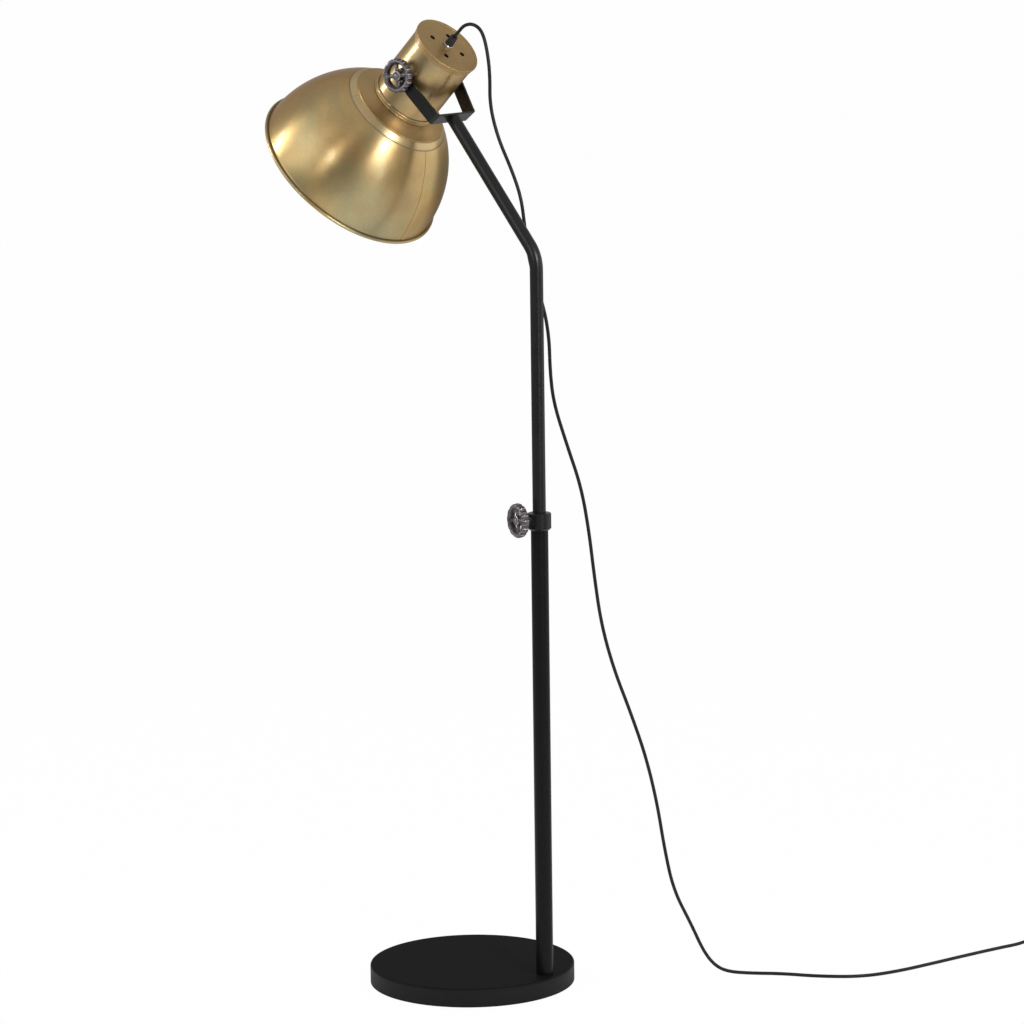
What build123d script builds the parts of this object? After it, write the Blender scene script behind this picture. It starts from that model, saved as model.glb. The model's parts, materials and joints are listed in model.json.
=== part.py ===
from build123d import *
import os
from math import atan2, cos, pi, radians, sin, tan

# Floor lamp with a spun brass shade on a tilting yoke, a telescopic pole with a
# clamp collar, a heavy round base and a free supply cord.
# Millimetres, +Z up. The origin is the centre of the base's underside. The arm and
# the head lie in a vertical plane parallel to XZ, with the shade towards -X.

# Base
base_diameter = 300
base_height = 28
base_edge_radius = 3
cover_wall = 1.5
cover_lift = 1
pad_thickness = 2
pad_margin = 6
weight_gap = 0.2
weight_thickness = 9
weight_boss_diameter = 38

# Fixing of the pole to the base
bolt_diameter = 12
bolt_head_across = 19
bolt_head_height = 7.5
bolt_thread_length = 24
washer_diameter = 30
washer_thickness = 3
washer_gap = 1
plug_length = 30
bolt_gap = 0.5

# Pole
pole_margin = 23
arm_swivel = 5
lower_tube_diameter = 25
upper_tube_diameter = 19
tube_wall = 1.5
collar_bottom = 683
collar_height = 24.5
collar_diameter = 34
collar_tube_depth = 8.5
collar_bottom_chamfer = 2.5
collar_top_chamfer = 1
bush_length = 40
bush_flange = 1.5
slide_bush_length = 24
slide_bush_floor = 2
tube_overlap = 300
fit_gap = 0.05
slide_gap = 0.1
collar_gap = 0.3

# Clamp of the pole
clamp_heading = 248
clamp_rise = 4
clamp_boss_diameter = 13
clamp_boss_length = 4
clamp_reach = 35
screw_diameter = 8
screw_end_proud = 2
screw_end_round = 2.5

# Arm
bend_height = 1075.4
arm_lean = 38
arm_length = 240
bend_radius = 55

# Yoke
yoke_depth = 80
yoke_strip_width = 20
yoke_strip = 3
yoke_half_width = 42
yoke_corner_radius = 5
joggle_start = 8
joggle_end = 52
stop_height = 20
stop_width = 8
stop_thickness = 3
stop_side = 25
stop_round = 2

# Head
head_lean = 45.5
housing_diameter = 97
housing_wall = 1
housing_back = 56
housing_front = 57
boss_diameter = 16
boss_length = 6
boss_proud = 1
friction_washer_diameter = 22
friction_washer_thickness = 1.5
outer_washer_diameter = 18
outer_washer_thickness = 1.2
hex_across = 13
hex_height = 5.3
cap_diameter = 102
cap_plate = 1.2
cap_skirt = 8
cap_skirt_wall = 0.9
cap_bead_radius = 1.6
vent_diameter = 8
vent_circle = 50
vent_count = 4

# Handwheels
wheel_diameter = 50
wheel_rim = 8.5
wheel_rim_depth = 12
wheel_rim_round = 4
wheel_lobes = 12
wheel_scallop_radius = 4.6
wheel_scallop_depth = 2.2
wheel_spokes = 4
wheel_spoke_heading = 7
wheel_spoke_width = 6
wheel_spoke_thickness = 5
wheel_hub_diameter = 15
wheel_hub_inner = 7
wheel_hub_outer = 4.5
wheel_round = 1

# Cord inlet, lamp holder and bulb
nipple_diameter = 10
nipple_bore = 6
nipple_length = 34
nipple_inset = 1
nut_across = 17
nut_height = 4
gland_diameter = 15
gland_height = 4
gland_chamfer = 0.8
grip_length = 15
grip_foot_diameter = 12.6
grip_end_diameter = 10.5
holder_diameter = 40
holder_back = 40
holder_front = 18
holder_chamfer = 1.5
bulb_cap_diameter = 26.4
bulb_cap_back = 4
bulb_cap_front = 20
bulb_tip_diameter = 10
bulb_diameter = 60
bulb_end = 104
bulb_wall = 0.8
holder_gap = 0.3

# Shade
shade_wall = 1
flange_width = 15
neck_radius = 50.2
shoulder_radius = 72
shoulder_end = 67.6
step_height = 2
dome_start_radius = 80.6
dome_start = 76.6
dome_end_radius = 140.1
dome_end = 200
dome_bulge = 13.7
seam_heading = 4
rim_radius = 142.7
rim_depth = 204
rim_bead_radius = 2.4
neck_sleeve = 8
neck_bead_radius = 1.6
neck_bead_pitch = 4
flange_ring_width = 11
flange_ring_height = 3
flange_screw_circle = 84
flange_screw_diameter = 4
flange_screw_count = 3
flange_screw_head = 7.6
flange_screw_head_height = 2.4
flange_screw_length = 8

# Cord, switch and plug
cord_diameter = 5
cord_rise = 9.5
turn_pitch = 5.6
coil_height = 4.2
coil_turns_per_layer = 0.875
coil_outer_radius = 30
arcs_per_turn = 4
coil_lead = 30
plug_lead = 26
tie_width = 9
tie_wall = 1.2
tie_gap = 0.5
tie_side_gap = 1.1
tie_angle = 200
switch_length = 54
switch_width = 24
switch_height = 17
switch_corner_radius = 8
switch_edge_radius = 4
switch_relief_length = 9
switch_relief_diameter = 9
relief_wall = 1
rocker_radius = 7.2
rocker_width = 9
rocker_depth = 5
rocker_gap = 0.4
rocker_dish_radius = 15
rocker_dish_depth = 1.4
rocker_rest = 8
plug_body_length = 34
plug_width = 26
plug_waist = 16
plug_thickness = 13.5
plug_edge_radius = 3
plug_relief_length = 22
plug_relief_diameter = 9
pin_diameter = 4
pin_length = 19
pin_root = 8
pin_spacing = 18.6

# The cord's way to the switch, chosen by hand and measured from the pole's axis. It leaves the
# grip on the cap straight, falls behind the yoke, passes behind the bend, hangs to the floor
# beside the pole and runs away over the floor.
cord_points = [
    (-124.5, 0.4, 1398.2),
    (-109.0, 1.6, 1399.7),
    (-96.0, 4.0, 1390.4),
    (-89.5, 6.5, 1366.0),
    (-85.5, 8.0, 1329.0),
    (-88.0, 9.5, 1285.0),
    (-76.5, 13.0, 1238.0),
    (-54.5, 15.5, 1194.0),
    (-39.5, 17.0, 1156.0),
    (-35.0, 18.5, 1118.0),
    (-30.5, 19.0, 1080.0),
    (-20.5, 20.5, 1040.0),
    (-6.0, 24.5, 998.0),
    (-1.0, 29.0, 955.0),
    (-0.5, 29.5, 908.0),
    (2.5, 33.0, 862.0),
    (13.5, 49.0, 800.0),
    (24.5, 67.0, 738.0),
    (31.0, 76.0, 672.0),
    (35.5, 82.0, 604.0),
    (41.0, 90.0, 535.0),
    (50.5, 106.0, 468.0),
    (63.5, 128.0, 402.0),
    (75.5, 149.0, 333.0),
    (84.0, 164.0, 262.0),
    (89.5, 174.0, 192.0),
    (96.5, 186.0, 128.0),
    (110.5, 211.0, 72.0),
    (120.5, 227.0, 30.0),
    (135.5, 234.0, 9.0),
    (158.5, 235.0, 2.6),
    (191.5, 248.0, 2.6),
    (229.5, 273.0, 2.6),
    (281.5, 292.0, 2.6),
    (333.5, 327.0, 2.6),
    (360.5, 381.0, 2.6),
    (379.5, 449.0, 2.6),
    (396.5, 516.0, 2.6),
    (414.5, 580.0, 2.6),
    (426.0, 612.7, 2.6),
    (434.0, 633.8, 6.0),
    (439.5, 648.0, 6.0),
]
head_cord_count = 12
pole_cord_count = 16
drop_cord_count = 33

# Places that follow from the sizes
pole_offset = base_diameter / 2 - pole_margin
pole_x = pole_offset * cos(radians(arm_swivel))
pole_y = pole_offset * sin(radians(arm_swivel))
lower_tube_bore = lower_tube_diameter - 2 * tube_wall
upper_tube_bore = upper_tube_diameter - 2 * tube_wall
lower_tube_top = collar_bottom + collar_tube_depth
collar_top = collar_bottom + collar_height
upper_tube_foot = collar_top - tube_overlap
clamp_height = collar_bottom + collar_height / 2 + clamp_rise
cover_ceiling = base_height - cover_wall
bolt_pocket_depth = bolt_head_height + washer_thickness + washer_gap

arm_dir = Vector(-sin(radians(arm_lean)), 0, cos(radians(arm_lean)))
arm_side = Vector(cos(radians(arm_lean)), 0, sin(radians(arm_lean)))
bend_point = Vector(pole_x, pole_y, bend_height)
arm_end = bend_point + arm_dir * arm_length
pivot = arm_end + arm_dir * yoke_depth

head_dir = Vector(-sin(radians(head_lean)), 0, -cos(radians(head_lean)))
head_side = Vector(cos(radians(head_lean)), 0, -sin(radians(head_lean)))
head_axis = Axis(pivot, head_dir)
across = Vector(0, 1, 0)
# In this plane x is the distance from the head's axis and y the way along it, rim ahead.
head_section = Plane(origin=pivot, x_dir=head_side, z_dir=across)
yoke_plane = Plane(origin=arm_end, x_dir=across, z_dir=arm_side)

housing_radius = housing_diameter / 2
boss_face = housing_radius + boss_proud
leg_inner_face = boss_face + friction_washer_thickness + slide_gap
leg_middle = leg_inner_face + yoke_strip / 2
outer_washer_face = leg_inner_face + yoke_strip + slide_gap
screw_seat = outer_washer_face + outer_washer_thickness
tilt_wheel_reach = screw_seat + slide_gap + wheel_hub_inner
cap_top = housing_back + cap_plate
gland_top = cap_top + gland_height
cord_exit = pivot - head_dir * (gland_top + grip_length)

clamp_dir = Vector(cos(radians(clamp_heading)), sin(radians(clamp_heading)), 0)
clamp_centre = Vector(pole_x, pole_y, clamp_height)


def head_plane(along):
    """Plane square to the head's axis, at a distance ahead of the pivot."""
    return Plane(origin=pivot + head_dir * along, x_dir=head_side, z_dir=head_dir)


def side_plane(reach):
    """Plane square to the pivot's axis, at a distance from the head's middle, facing out."""
    out = across if reach > 0 else across * -1
    return Plane(origin=pivot + across * reach, x_dir=head_side, z_dir=out)


def pole_plane(height):
    """Level plane centred on the pole."""
    return Plane(origin=(pole_x, pole_y, height), z_dir=(0, 0, 1))


def ring(plane, outer_diameter, inner_diameter, length):
    """Plain ring that stands on a plane."""
    with BuildPart() as body:
        with BuildSketch(plane):
            Circle(outer_diameter / 2)
            Circle(inner_diameter / 2, mode=Mode.SUBTRACT)
        extrude(amount=length)
    return body.part


def finish(part, name):
    """Label a finished piece and write it."""
    part.label = name
    export_step(part, f"parts/{name}.step")


os.makedirs("parts", exist_ok=True)

# Base cover: a spun steel lid with a rolled top edge, open below
with BuildPart() as base_cover:
    with BuildSketch(Plane.XY.offset(cover_lift)):
        Circle(base_diameter / 2)
    extrude(amount=base_height - cover_lift)
    fillet(base_cover.faces().sort_by(Axis.Z)[-1].edges(), base_edge_radius)
    offset(amount=-cover_wall, openings=base_cover.faces().sort_by(Axis.Z)[0])
    with BuildSketch(pole_plane(base_height)):
        Circle(bolt_diameter / 2 + bolt_gap)
    extrude(amount=-2 * cover_wall, mode=Mode.SUBTRACT)
finish(base_cover.part, "base_cover")

# Base weight: a cast disc inside the cover, with a boss that carries the pole and a pocket
# below it for the bolt's head
with BuildPart() as base_weight:
    with BuildSketch(Plane.XY.offset(pad_thickness)):
        Circle(base_diameter / 2 - cover_wall - weight_gap)
    extrude(amount=weight_thickness)
    with BuildSketch(pole_plane(pad_thickness)):
        Circle(weight_boss_diameter / 2)
    extrude(amount=cover_ceiling - pad_thickness)
    with Locations(Plane(origin=(pole_x, pole_y, pad_thickness), z_dir=(0, 0, -1))):
        CounterBoreHole(
            bolt_diameter / 2 + bolt_gap,
            washer_diameter / 2 + washer_gap,
            bolt_pocket_depth,
        )
finish(base_weight.part, "base_weight")

# Base pad: a felt disc under the weight, which the lamp stands on
with BuildPart() as base_pad:
    with BuildSketch():
        Circle(base_diameter / 2 - cover_wall - pad_margin)
    extrude(amount=pad_thickness)
finish(base_pad.part, "base_pad")

# Fixing: a bolt from below, a wide washer and a tapped plug in the pole's foot
pocket_ceiling = pad_thickness + bolt_pocket_depth
washer_plane = pole_plane(pocket_ceiling - washer_thickness)
foot_washer = ring(washer_plane, washer_diameter, bolt_diameter + 2 * bolt_gap, washer_thickness)
finish(foot_washer, "foot_washer")

with BuildPart() as foot_bolt:
    with BuildSketch(washer_plane):
        RegularPolygon(bolt_head_across / 2, 6, major_radius=False)
    extrude(amount=-bolt_head_height)
    with BuildSketch(washer_plane):
        Circle(bolt_diameter / 2)
    extrude(amount=base_height + bolt_thread_length - pocket_ceiling + washer_thickness)
finish(foot_bolt.part, "foot_bolt")

foot_plug = ring(
    pole_plane(base_height),
    lower_tube_bore - 2 * fit_gap,
    bolt_diameter + 2 * fit_gap,
    plug_length,
)
finish(foot_plug, "foot_plug")

# Lower tube of the pole
lower_tube = ring(
    pole_plane(base_height), lower_tube_diameter, lower_tube_bore, lower_tube_top - base_height
)
finish(lower_tube, "lower_tube")

# Collar: a turned steel cap on the lower tube, with a tapped boss for the clamp screw
with BuildPart() as collar:
    with BuildSketch(pole_plane(collar_bottom)):
        Circle(collar_diameter / 2)
    extrude(amount=collar_height)
    chamfer(collar.faces().sort_by(Axis.Z)[0].edges(), collar_bottom_chamfer)
    chamfer(collar.faces().sort_by(Axis.Z)[-1].edges(), collar_top_chamfer)
    with BuildSketch(Plane(origin=clamp_centre, z_dir=clamp_dir)):
        Circle(clamp_boss_diameter / 2)
    extrude(amount=collar_diameter / 2 + clamp_boss_length)
    with BuildSketch(pole_plane(collar_bottom)):
        Circle(lower_tube_diameter / 2 + fit_gap)
    extrude(amount=collar_tube_depth + bush_flange, mode=Mode.SUBTRACT)
    with BuildSketch(pole_plane(collar_bottom)):
        Circle(upper_tube_diameter / 2 + collar_gap)
    extrude(amount=collar_height, mode=Mode.SUBTRACT)
    with BuildSketch(Plane(origin=clamp_centre, z_dir=clamp_dir)):
        Circle(screw_diameter / 2 + fit_gap)
    extrude(amount=collar_diameter / 2 + clamp_boss_length, mode=Mode.SUBTRACT)
finish(collar.part, "collar")

# Guide bush: a nylon sleeve in the lower tube's mouth, in which the upper tube slides
with BuildPart() as guide_bush:
    with BuildSketch(pole_plane(lower_tube_top)):
        Circle(lower_tube_bore / 2 - fit_gap)
    extrude(amount=-bush_length)
    with BuildSketch(pole_plane(lower_tube_top)):
        Circle(lower_tube_diameter / 2)
    extrude(amount=bush_flange)
    with BuildSketch(pole_plane(lower_tube_top - bush_length)):
        Circle(upper_tube_diameter / 2 + fit_gap)
    extrude(amount=bush_length + bush_flange, mode=Mode.SUBTRACT)
finish(guide_bush.part, "guide_bush")

# Slide bush: a nylon cup on the upper tube's foot, which slides in the lower tube
with BuildPart() as slide_bush:
    with BuildSketch(pole_plane(upper_tube_foot - slide_gap - slide_bush_floor)):
        Circle(lower_tube_bore / 2 - slide_gap)
    extrude(amount=slide_bush_length)
    with BuildSketch(pole_plane(upper_tube_foot - slide_gap)):
        Circle(upper_tube_diameter / 2 + fit_gap)
    extrude(amount=slide_bush_length, mode=Mode.SUBTRACT)
    with BuildSketch(pole_plane(upper_tube_foot - slide_gap)):
        Circle(upper_tube_bore / 2)
    extrude(amount=-slide_bush_floor, mode=Mode.SUBTRACT)
finish(slide_bush.part, "slide_bush")

# Upper tube: straight in the pole, then one smooth bend into the leaning arm
upper_tube_start = (pole_x, pole_y, upper_tube_foot)
with BuildPart() as upper_tube:
    with BuildLine() as arm_path:
        FilletPolyline(upper_tube_start, bend_point, arm_end, radius=bend_radius)
    with BuildSketch(pole_plane(upper_tube_foot)):
        Circle(upper_tube_diameter / 2)
        Circle(upper_tube_bore / 2, mode=Mode.SUBTRACT)
    sweep(path=arm_path.wires()[0])
finish(upper_tube.part, "upper_tube")

# Yoke: one flat strip bent to a fork, its legs joggled outwards to pass the housing,
# with round ends and a hole for the pivot screw in each leg
leg_end = yoke_depth + yoke_strip_width / 2
with BuildPart() as yoke:
    with BuildSketch(yoke_plane):
        with BuildLine():
            FilletPolyline(
                (-leg_middle, leg_end),
                (-leg_middle, joggle_end),
                (-yoke_half_width, joggle_start),
                (-yoke_half_width, yoke_strip / 2),
                (yoke_half_width, yoke_strip / 2),
                (yoke_half_width, joggle_start),
                (leg_middle, joggle_end),
                (leg_middle, leg_end),
                radius=[yoke_corner_radius, yoke_strip, yoke_corner_radius] * 2,
            )
        trace(line_width=yoke_strip)
    extrude(amount=yoke_strip_width / 2, both=True)
    with BuildSketch(Plane(origin=pivot, x_dir=arm_side, z_dir=across * -1)):
        Circle(yoke_strip_width / 2)
        with Locations((0, -leg_end / 2)):
            Rectangle(yoke_strip_width, leg_end)
    extrude(amount=2 * leg_middle, both=True, mode=Mode.INTERSECT)
    with BuildSketch(side_plane(0)):
        Circle(screw_diameter / 2 + slide_gap)
    extrude(amount=2 * leg_middle, both=True, mode=Mode.SUBTRACT)
finish(yoke.part, "yoke")

# Tilt stop: a flat lug that stands on the yoke's bar, in the way of the cap's edge
with BuildPart() as tilt_stop:
    with BuildSketch(yoke_plane.offset(-yoke_strip_width / 2)):
        with Locations((-stop_side, yoke_strip + stop_height / 2)):
            Rectangle(stop_thickness, stop_height)
    extrude(amount=stop_width)
    top_edges = tilt_stop.edges().filter_by(Axis.Y).sort_by(Axis(arm_end, arm_dir))[-2:]
    fillet(top_edges, stop_round)
finish(tilt_stop.part, "tilt_stop")


def handwheel(plane):
    """Cast wheel around a plane's normal: a deep rounded rim with scallops, flat spokes and a hub."""
    rim_middle = (wheel_diameter - wheel_rim) / 2
    hub_radius = wheel_hub_diameter / 2
    scallop_circle = wheel_diameter / 2 + wheel_scallop_radius - wheel_scallop_depth
    with BuildPart() as wheel:
        with BuildSketch(Plane(origin=plane.origin, x_dir=plane.x_dir, z_dir=plane.y_dir * -1)):
            with Locations((rim_middle, 0)):
                RectangleRounded(wheel_rim, wheel_rim_depth, wheel_rim_round)
            with BuildLine():
                Polyline(
                    (0, -wheel_hub_inner),
                    (hub_radius, -wheel_hub_inner),
                    (hub_radius, wheel_hub_outer - wheel_round),
                    (hub_radius - wheel_round, wheel_hub_outer),
                    (0, wheel_hub_outer),
                    close=True,
                )
            make_face()
        revolve(axis=Axis(plane.origin, plane.z_dir))
        with BuildSketch(plane.offset(-wheel_rim_depth / 2 - wheel_round)):
            with PolarLocations(scallop_circle, wheel_lobes, start_angle=180 / wheel_lobes):
                Circle(wheel_scallop_radius)
        extrude(amount=wheel_rim_depth + 2 * wheel_round, mode=Mode.SUBTRACT)
        with BuildSketch(plane.offset(-wheel_spoke_thickness / 2)):
            with PolarLocations(rim_middle / 2, wheel_spokes, start_angle=wheel_spoke_heading):
                Rectangle(rim_middle, wheel_spoke_width)
        extrude(amount=wheel_spoke_thickness)
        with BuildSketch(plane.offset(-wheel_hub_inner)):
            Circle(screw_diameter / 2 + fit_gap)
        extrude(amount=wheel_hub_inner + wheel_hub_outer, mode=Mode.SUBTRACT)
    return wheel.part


def wheel_screw(plane, length):
    """Round screw with a domed outer end that ends just outside a wheel's hub."""
    with BuildPart() as screw:
        with BuildSketch(plane.offset(wheel_hub_outer + screw_end_proud)):
            Circle(screw_diameter / 2)
        extrude(amount=-length)
        outer_end = screw.faces().filter_by(GeomType.PLANE).sort_by(Axis(plane.origin, plane.z_dir))[-1]
        fillet(outer_end.edges(), screw_end_round)
    return screw.part


# Clamp: a handwheel on a screw that bears on the upper tube
clamp_plane = Plane(origin=clamp_centre + clamp_dir * clamp_reach, x_dir=(0, 0, 1), z_dir=clamp_dir)
clamp_tip = upper_tube_diameter / 2 + collar_gap
clamp_screw = wheel_screw(clamp_plane, clamp_reach + wheel_hub_outer + screw_end_proud - clamp_tip)
finish(clamp_screw, "clamp_screw")
finish(handwheel(clamp_plane), "clamp_wheel")

# Tilt clamp: the same wheel on the near end of the pivot
tilt_plane = Plane(origin=pivot - across * tilt_wheel_reach, x_dir=(0, 0, 1), z_dir=across * -1)
boss_back = boss_face - boss_length
tilt_screw = wheel_screw(tilt_plane, tilt_wheel_reach + wheel_hub_outer + screw_end_proud - boss_back)
finish(tilt_screw, "tilt_screw")
finish(handwheel(tilt_plane), "tilt_wheel")

# Housing: the tube between the cap and the shade, with a round hole for each pivot boss
with BuildPart() as housing:
    with BuildSketch(head_plane(-housing_back)):
        Circle(housing_radius)
        Circle(housing_radius - housing_wall, mode=Mode.SUBTRACT)
    extrude(amount=housing_back + housing_front)
    with BuildSketch(side_plane(0)):
        Circle(boss_diameter / 2 + fit_gap)
    extrude(amount=housing_diameter, both=True, mode=Mode.SUBTRACT)
finish(housing.part, "housing")

# Pivot bosses: two tapped discs set into the housing's sides
with BuildPart() as pivot_bosses:
    for reach in (boss_back, -boss_back):
        with BuildSketch(side_plane(reach)):
            Circle(boss_diameter / 2)
            Circle(screw_diameter / 2 + fit_gap, mode=Mode.SUBTRACT)
        extrude(amount=boss_length)
finish(pivot_bosses.part, "pivot_bosses")

# Washers inside and outside the yoke's legs
with BuildPart() as friction_washers:
    for reach in (boss_face, -boss_face):
        with BuildSketch(side_plane(reach)):
            Circle(friction_washer_diameter / 2)
            Circle(screw_diameter / 2 + slide_gap, mode=Mode.SUBTRACT)
        extrude(amount=friction_washer_thickness)
finish(friction_washers.part, "friction_washers")

with BuildPart() as outer_washers:
    for reach in (outer_washer_face, -outer_washer_face):
        with BuildSketch(side_plane(reach)):
            Circle(outer_washer_diameter / 2)
            Circle(screw_diameter / 2 + slide_gap, mode=Mode.SUBTRACT)
        extrude(amount=outer_washer_thickness)
finish(outer_washers.part, "outer_washers")

# Pivot screw on the far side, with a plain hexagon head
with BuildPart() as pivot_screw:
    with BuildSketch(side_plane(screw_seat)):
        RegularPolygon(hex_across / 2, 6, major_radius=False)
    extrude(amount=hex_height)
    with BuildSketch(side_plane(screw_seat)):
        Circle(screw_diameter / 2)
    extrude(amount=boss_back - screw_seat)
finish(pivot_screw.part, "pivot_screw")

# Cap: a flat lid with a rolled bead around its edge, a short skirt and vent holes
skirt_radius = housing_radius + fit_gap
bead_circle = cap_diameter / 2 - cap_bead_radius
with BuildPart() as cap:
    with BuildSketch(head_section):
        with Locations((0, -cap_top)):
            Rectangle(bead_circle, cap_plate, align=(Align.MIN, Align.MIN))
        with Locations((skirt_radius, -cap_top)):
            Rectangle(cap_skirt_wall, cap_skirt + cap_plate, align=(Align.MIN, Align.MIN))
        with Locations((bead_circle, cap_bead_radius - cap_top)):
            Circle(cap_bead_radius)
        with Locations((0, -housing_back)):
            Rectangle(skirt_radius, cap_skirt, align=(Align.MIN, Align.MIN), mode=Mode.SUBTRACT)
    revolve(axis=head_axis)
    with BuildSketch(head_plane(-cap_top)):
        Circle(nipple_diameter / 2 + fit_gap)
        with PolarLocations(vent_circle / 2, vent_count, start_angle=45):
            Circle(vent_diameter / 2)
    extrude(amount=cap_plate, mode=Mode.SUBTRACT)
finish(cap.part, "cap")

# Cord inlet: a threaded tube through the cap, a nut on each side and a tapered cord grip
nipple_back = gland_top - nipple_inset
nipple = ring(head_plane(-nipple_back), nipple_diameter, nipple_bore, nipple_length)
finish(nipple, "nipple")

with BuildPart() as nipple_nut:
    with BuildSketch(head_plane(-housing_back)):
        RegularPolygon(nut_across / 2, 6, major_radius=False)
        Circle(nipple_diameter / 2 + fit_gap, mode=Mode.SUBTRACT)
    extrude(amount=nut_height)
finish(nipple_nut.part, "nipple_nut")

with BuildPart() as gland_nut:
    with BuildSketch(head_plane(-cap_top)):
        Circle(gland_diameter / 2)
    extrude(amount=-gland_height)
    chamfer(gland_nut.faces().sort_by(head_axis)[0].edges(), gland_chamfer)
    with BuildSketch(head_plane(-cap_top)):
        Circle(nipple_diameter / 2 + fit_gap)
    extrude(amount=nipple_inset - gland_height, mode=Mode.SUBTRACT)
    with BuildSketch(head_plane(-cap_top)):
        Circle(nipple_bore / 2)
    extrude(amount=-gland_height, mode=Mode.SUBTRACT)
finish(gland_nut.part, "gland_nut")

with BuildPart() as cord_grip:
    with BuildSketch(head_plane(-gland_top)):
        Circle(grip_foot_diameter / 2)
    with BuildSketch(head_plane(-gland_top - grip_length)):
        Circle(grip_end_diameter / 2)
    loft()
finish(cord_grip.part, "cord_grip")

# Lamp holder on the threaded tube, open towards the shade
nipple_front = nipple_length - nipple_back
with BuildPart() as lamp_holder:
    with BuildSketch(head_plane(-holder_back)):
        Circle(holder_diameter / 2)
    extrude(amount=holder_back + holder_front)
    chamfer(lamp_holder.faces().sort_by(head_axis)[0].edges(), holder_chamfer)
    chamfer(lamp_holder.faces().sort_by(head_axis)[-1].edges(), holder_chamfer)
    with BuildSketch(head_plane(-holder_back)):
        Circle(nipple_diameter / 2 + fit_gap)
    extrude(amount=holder_back + nipple_front, mode=Mode.SUBTRACT)
    with BuildSketch(head_plane(-holder_back)):
        Circle(nipple_bore / 2)
    extrude(amount=holder_back, mode=Mode.SUBTRACT)
    with BuildSketch(head_plane(-bulb_cap_back)):
        Circle(bulb_cap_diameter / 2 + holder_gap)
    extrude(amount=bulb_cap_back + holder_front, mode=Mode.SUBTRACT)
finish(lamp_holder.part, "lamp_holder")

# Bulb: a screw cap and a thin glass with a narrow neck and a round end
cap_radius = bulb_cap_diameter / 2
tip_radius = bulb_tip_diameter / 2
with BuildPart() as bulb_cap:
    with BuildSketch(head_section):
        with BuildLine():
            Polyline(
                (0, -bulb_cap_back),
                (tip_radius, -bulb_cap_back),
                (cap_radius, cap_radius - tip_radius - bulb_cap_back),
                (cap_radius, bulb_cap_front),
                (0, bulb_cap_front),
                close=True,
            )
        make_face()
    revolve(axis=head_axis)
finish(bulb_cap.part, "bulb_cap")

glass_radius = (bulb_diameter - bulb_wall) / 2
glass_middle = bulb_end - bulb_diameter / 2
with BuildPart() as bulb_glass:
    with BuildSketch(head_section):
        with BuildLine():
            Spline(
                (cap_radius - bulb_wall / 2, bulb_cap_front),
                (glass_radius, glass_middle),
                tangents=[(0, 1), (0, 1)],
            )
            CenterArc((0, glass_middle), glass_radius, 0, 90)
        trace(line_width=bulb_wall)
    revolve(axis=head_axis)
finish(bulb_glass.part, "bulb_glass")

# Neck: a sleeve with two beads around the housing's front end
with BuildPart() as shade_neck:
    with BuildSketch(head_section):
        with Locations((skirt_radius, housing_front)):
            Rectangle(cap_skirt_wall, neck_sleeve, align=(Align.MIN, Align.MAX))
        with Locations((bead_circle, housing_front - neck_bead_radius)):
            Circle(neck_bead_radius)
        with Locations((bead_circle, housing_front - neck_bead_radius - neck_bead_pitch)):
            Circle(neck_bead_radius)
        with Locations((0, housing_front)):
            Rectangle(skirt_radius, 2 * neck_sleeve, align=(Align.MIN, Align.MAX), mode=Mode.SUBTRACT)
    revolve(axis=head_axis)
finish(shade_neck.part, "shade_neck")

flange_middle = housing_front + shade_wall / 2
flange_front = housing_front + shade_wall


def shade_shell(section, turn):
    """Shell of the shade over a turn: flat flange, shoulder, small step, dome and rolled rim."""
    with BuildPart() as shell:
        with BuildSketch(section):
            with BuildLine():
                Polyline(
                    (neck_radius - flange_width, flange_middle),
                    (neck_radius, flange_middle),
                    (shoulder_radius, shoulder_end),
                    (shoulder_radius, shoulder_end + step_height),
                    (dome_start_radius, dome_start),
                )
                SagittaArc((dome_start_radius, dome_start), (dome_end_radius, dome_end), -dome_bulge)
                Line((dome_end_radius, dome_end), (rim_radius, rim_depth))
            trace(line_width=shade_wall)
            with Locations((rim_radius, rim_depth)):
                Circle(rim_bead_radius)
        revolve(axis=head_axis, revolution_arc=turn)
    return shell.part


# Shade: a crown with the flange, the shoulder and the pale ring, two half domes that meet at
# seams, and a rolled rim
with BuildPart() as shade_crown:
    add(shade_shell(head_section, 360))
    split(bisect_by=head_plane(dome_start), keep=Keep.BOTTOM)
    with BuildSketch(head_plane(housing_front)):
        with PolarLocations(flange_screw_circle / 2, flange_screw_count):
            Circle(flange_screw_diameter / 2 + fit_gap)
    extrude(amount=shade_wall, mode=Mode.SUBTRACT)
finish(shade_crown.part, "shade_crown")

for name, seam_turn in (("shade_near", seam_heading), ("shade_far", seam_heading + 180)):
    seam_section = Plane(
        origin=pivot,
        x_dir=head_side.rotate(head_axis, seam_turn),
        z_dir=across.rotate(head_axis, seam_turn),
    )
    with BuildPart() as shade_panel:
        add(shade_shell(seam_section, 180))
        split(bisect_by=head_plane(dome_start), keep=Keep.TOP)
        split(bisect_by=head_plane(dome_end), keep=Keep.BOTTOM)
    finish(shade_panel.part, name)

with BuildPart() as shade_rim:
    add(shade_shell(head_section, 360))
    split(bisect_by=head_plane(dome_end), keep=Keep.TOP)
finish(shade_rim.part, "shade_rim")

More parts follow.
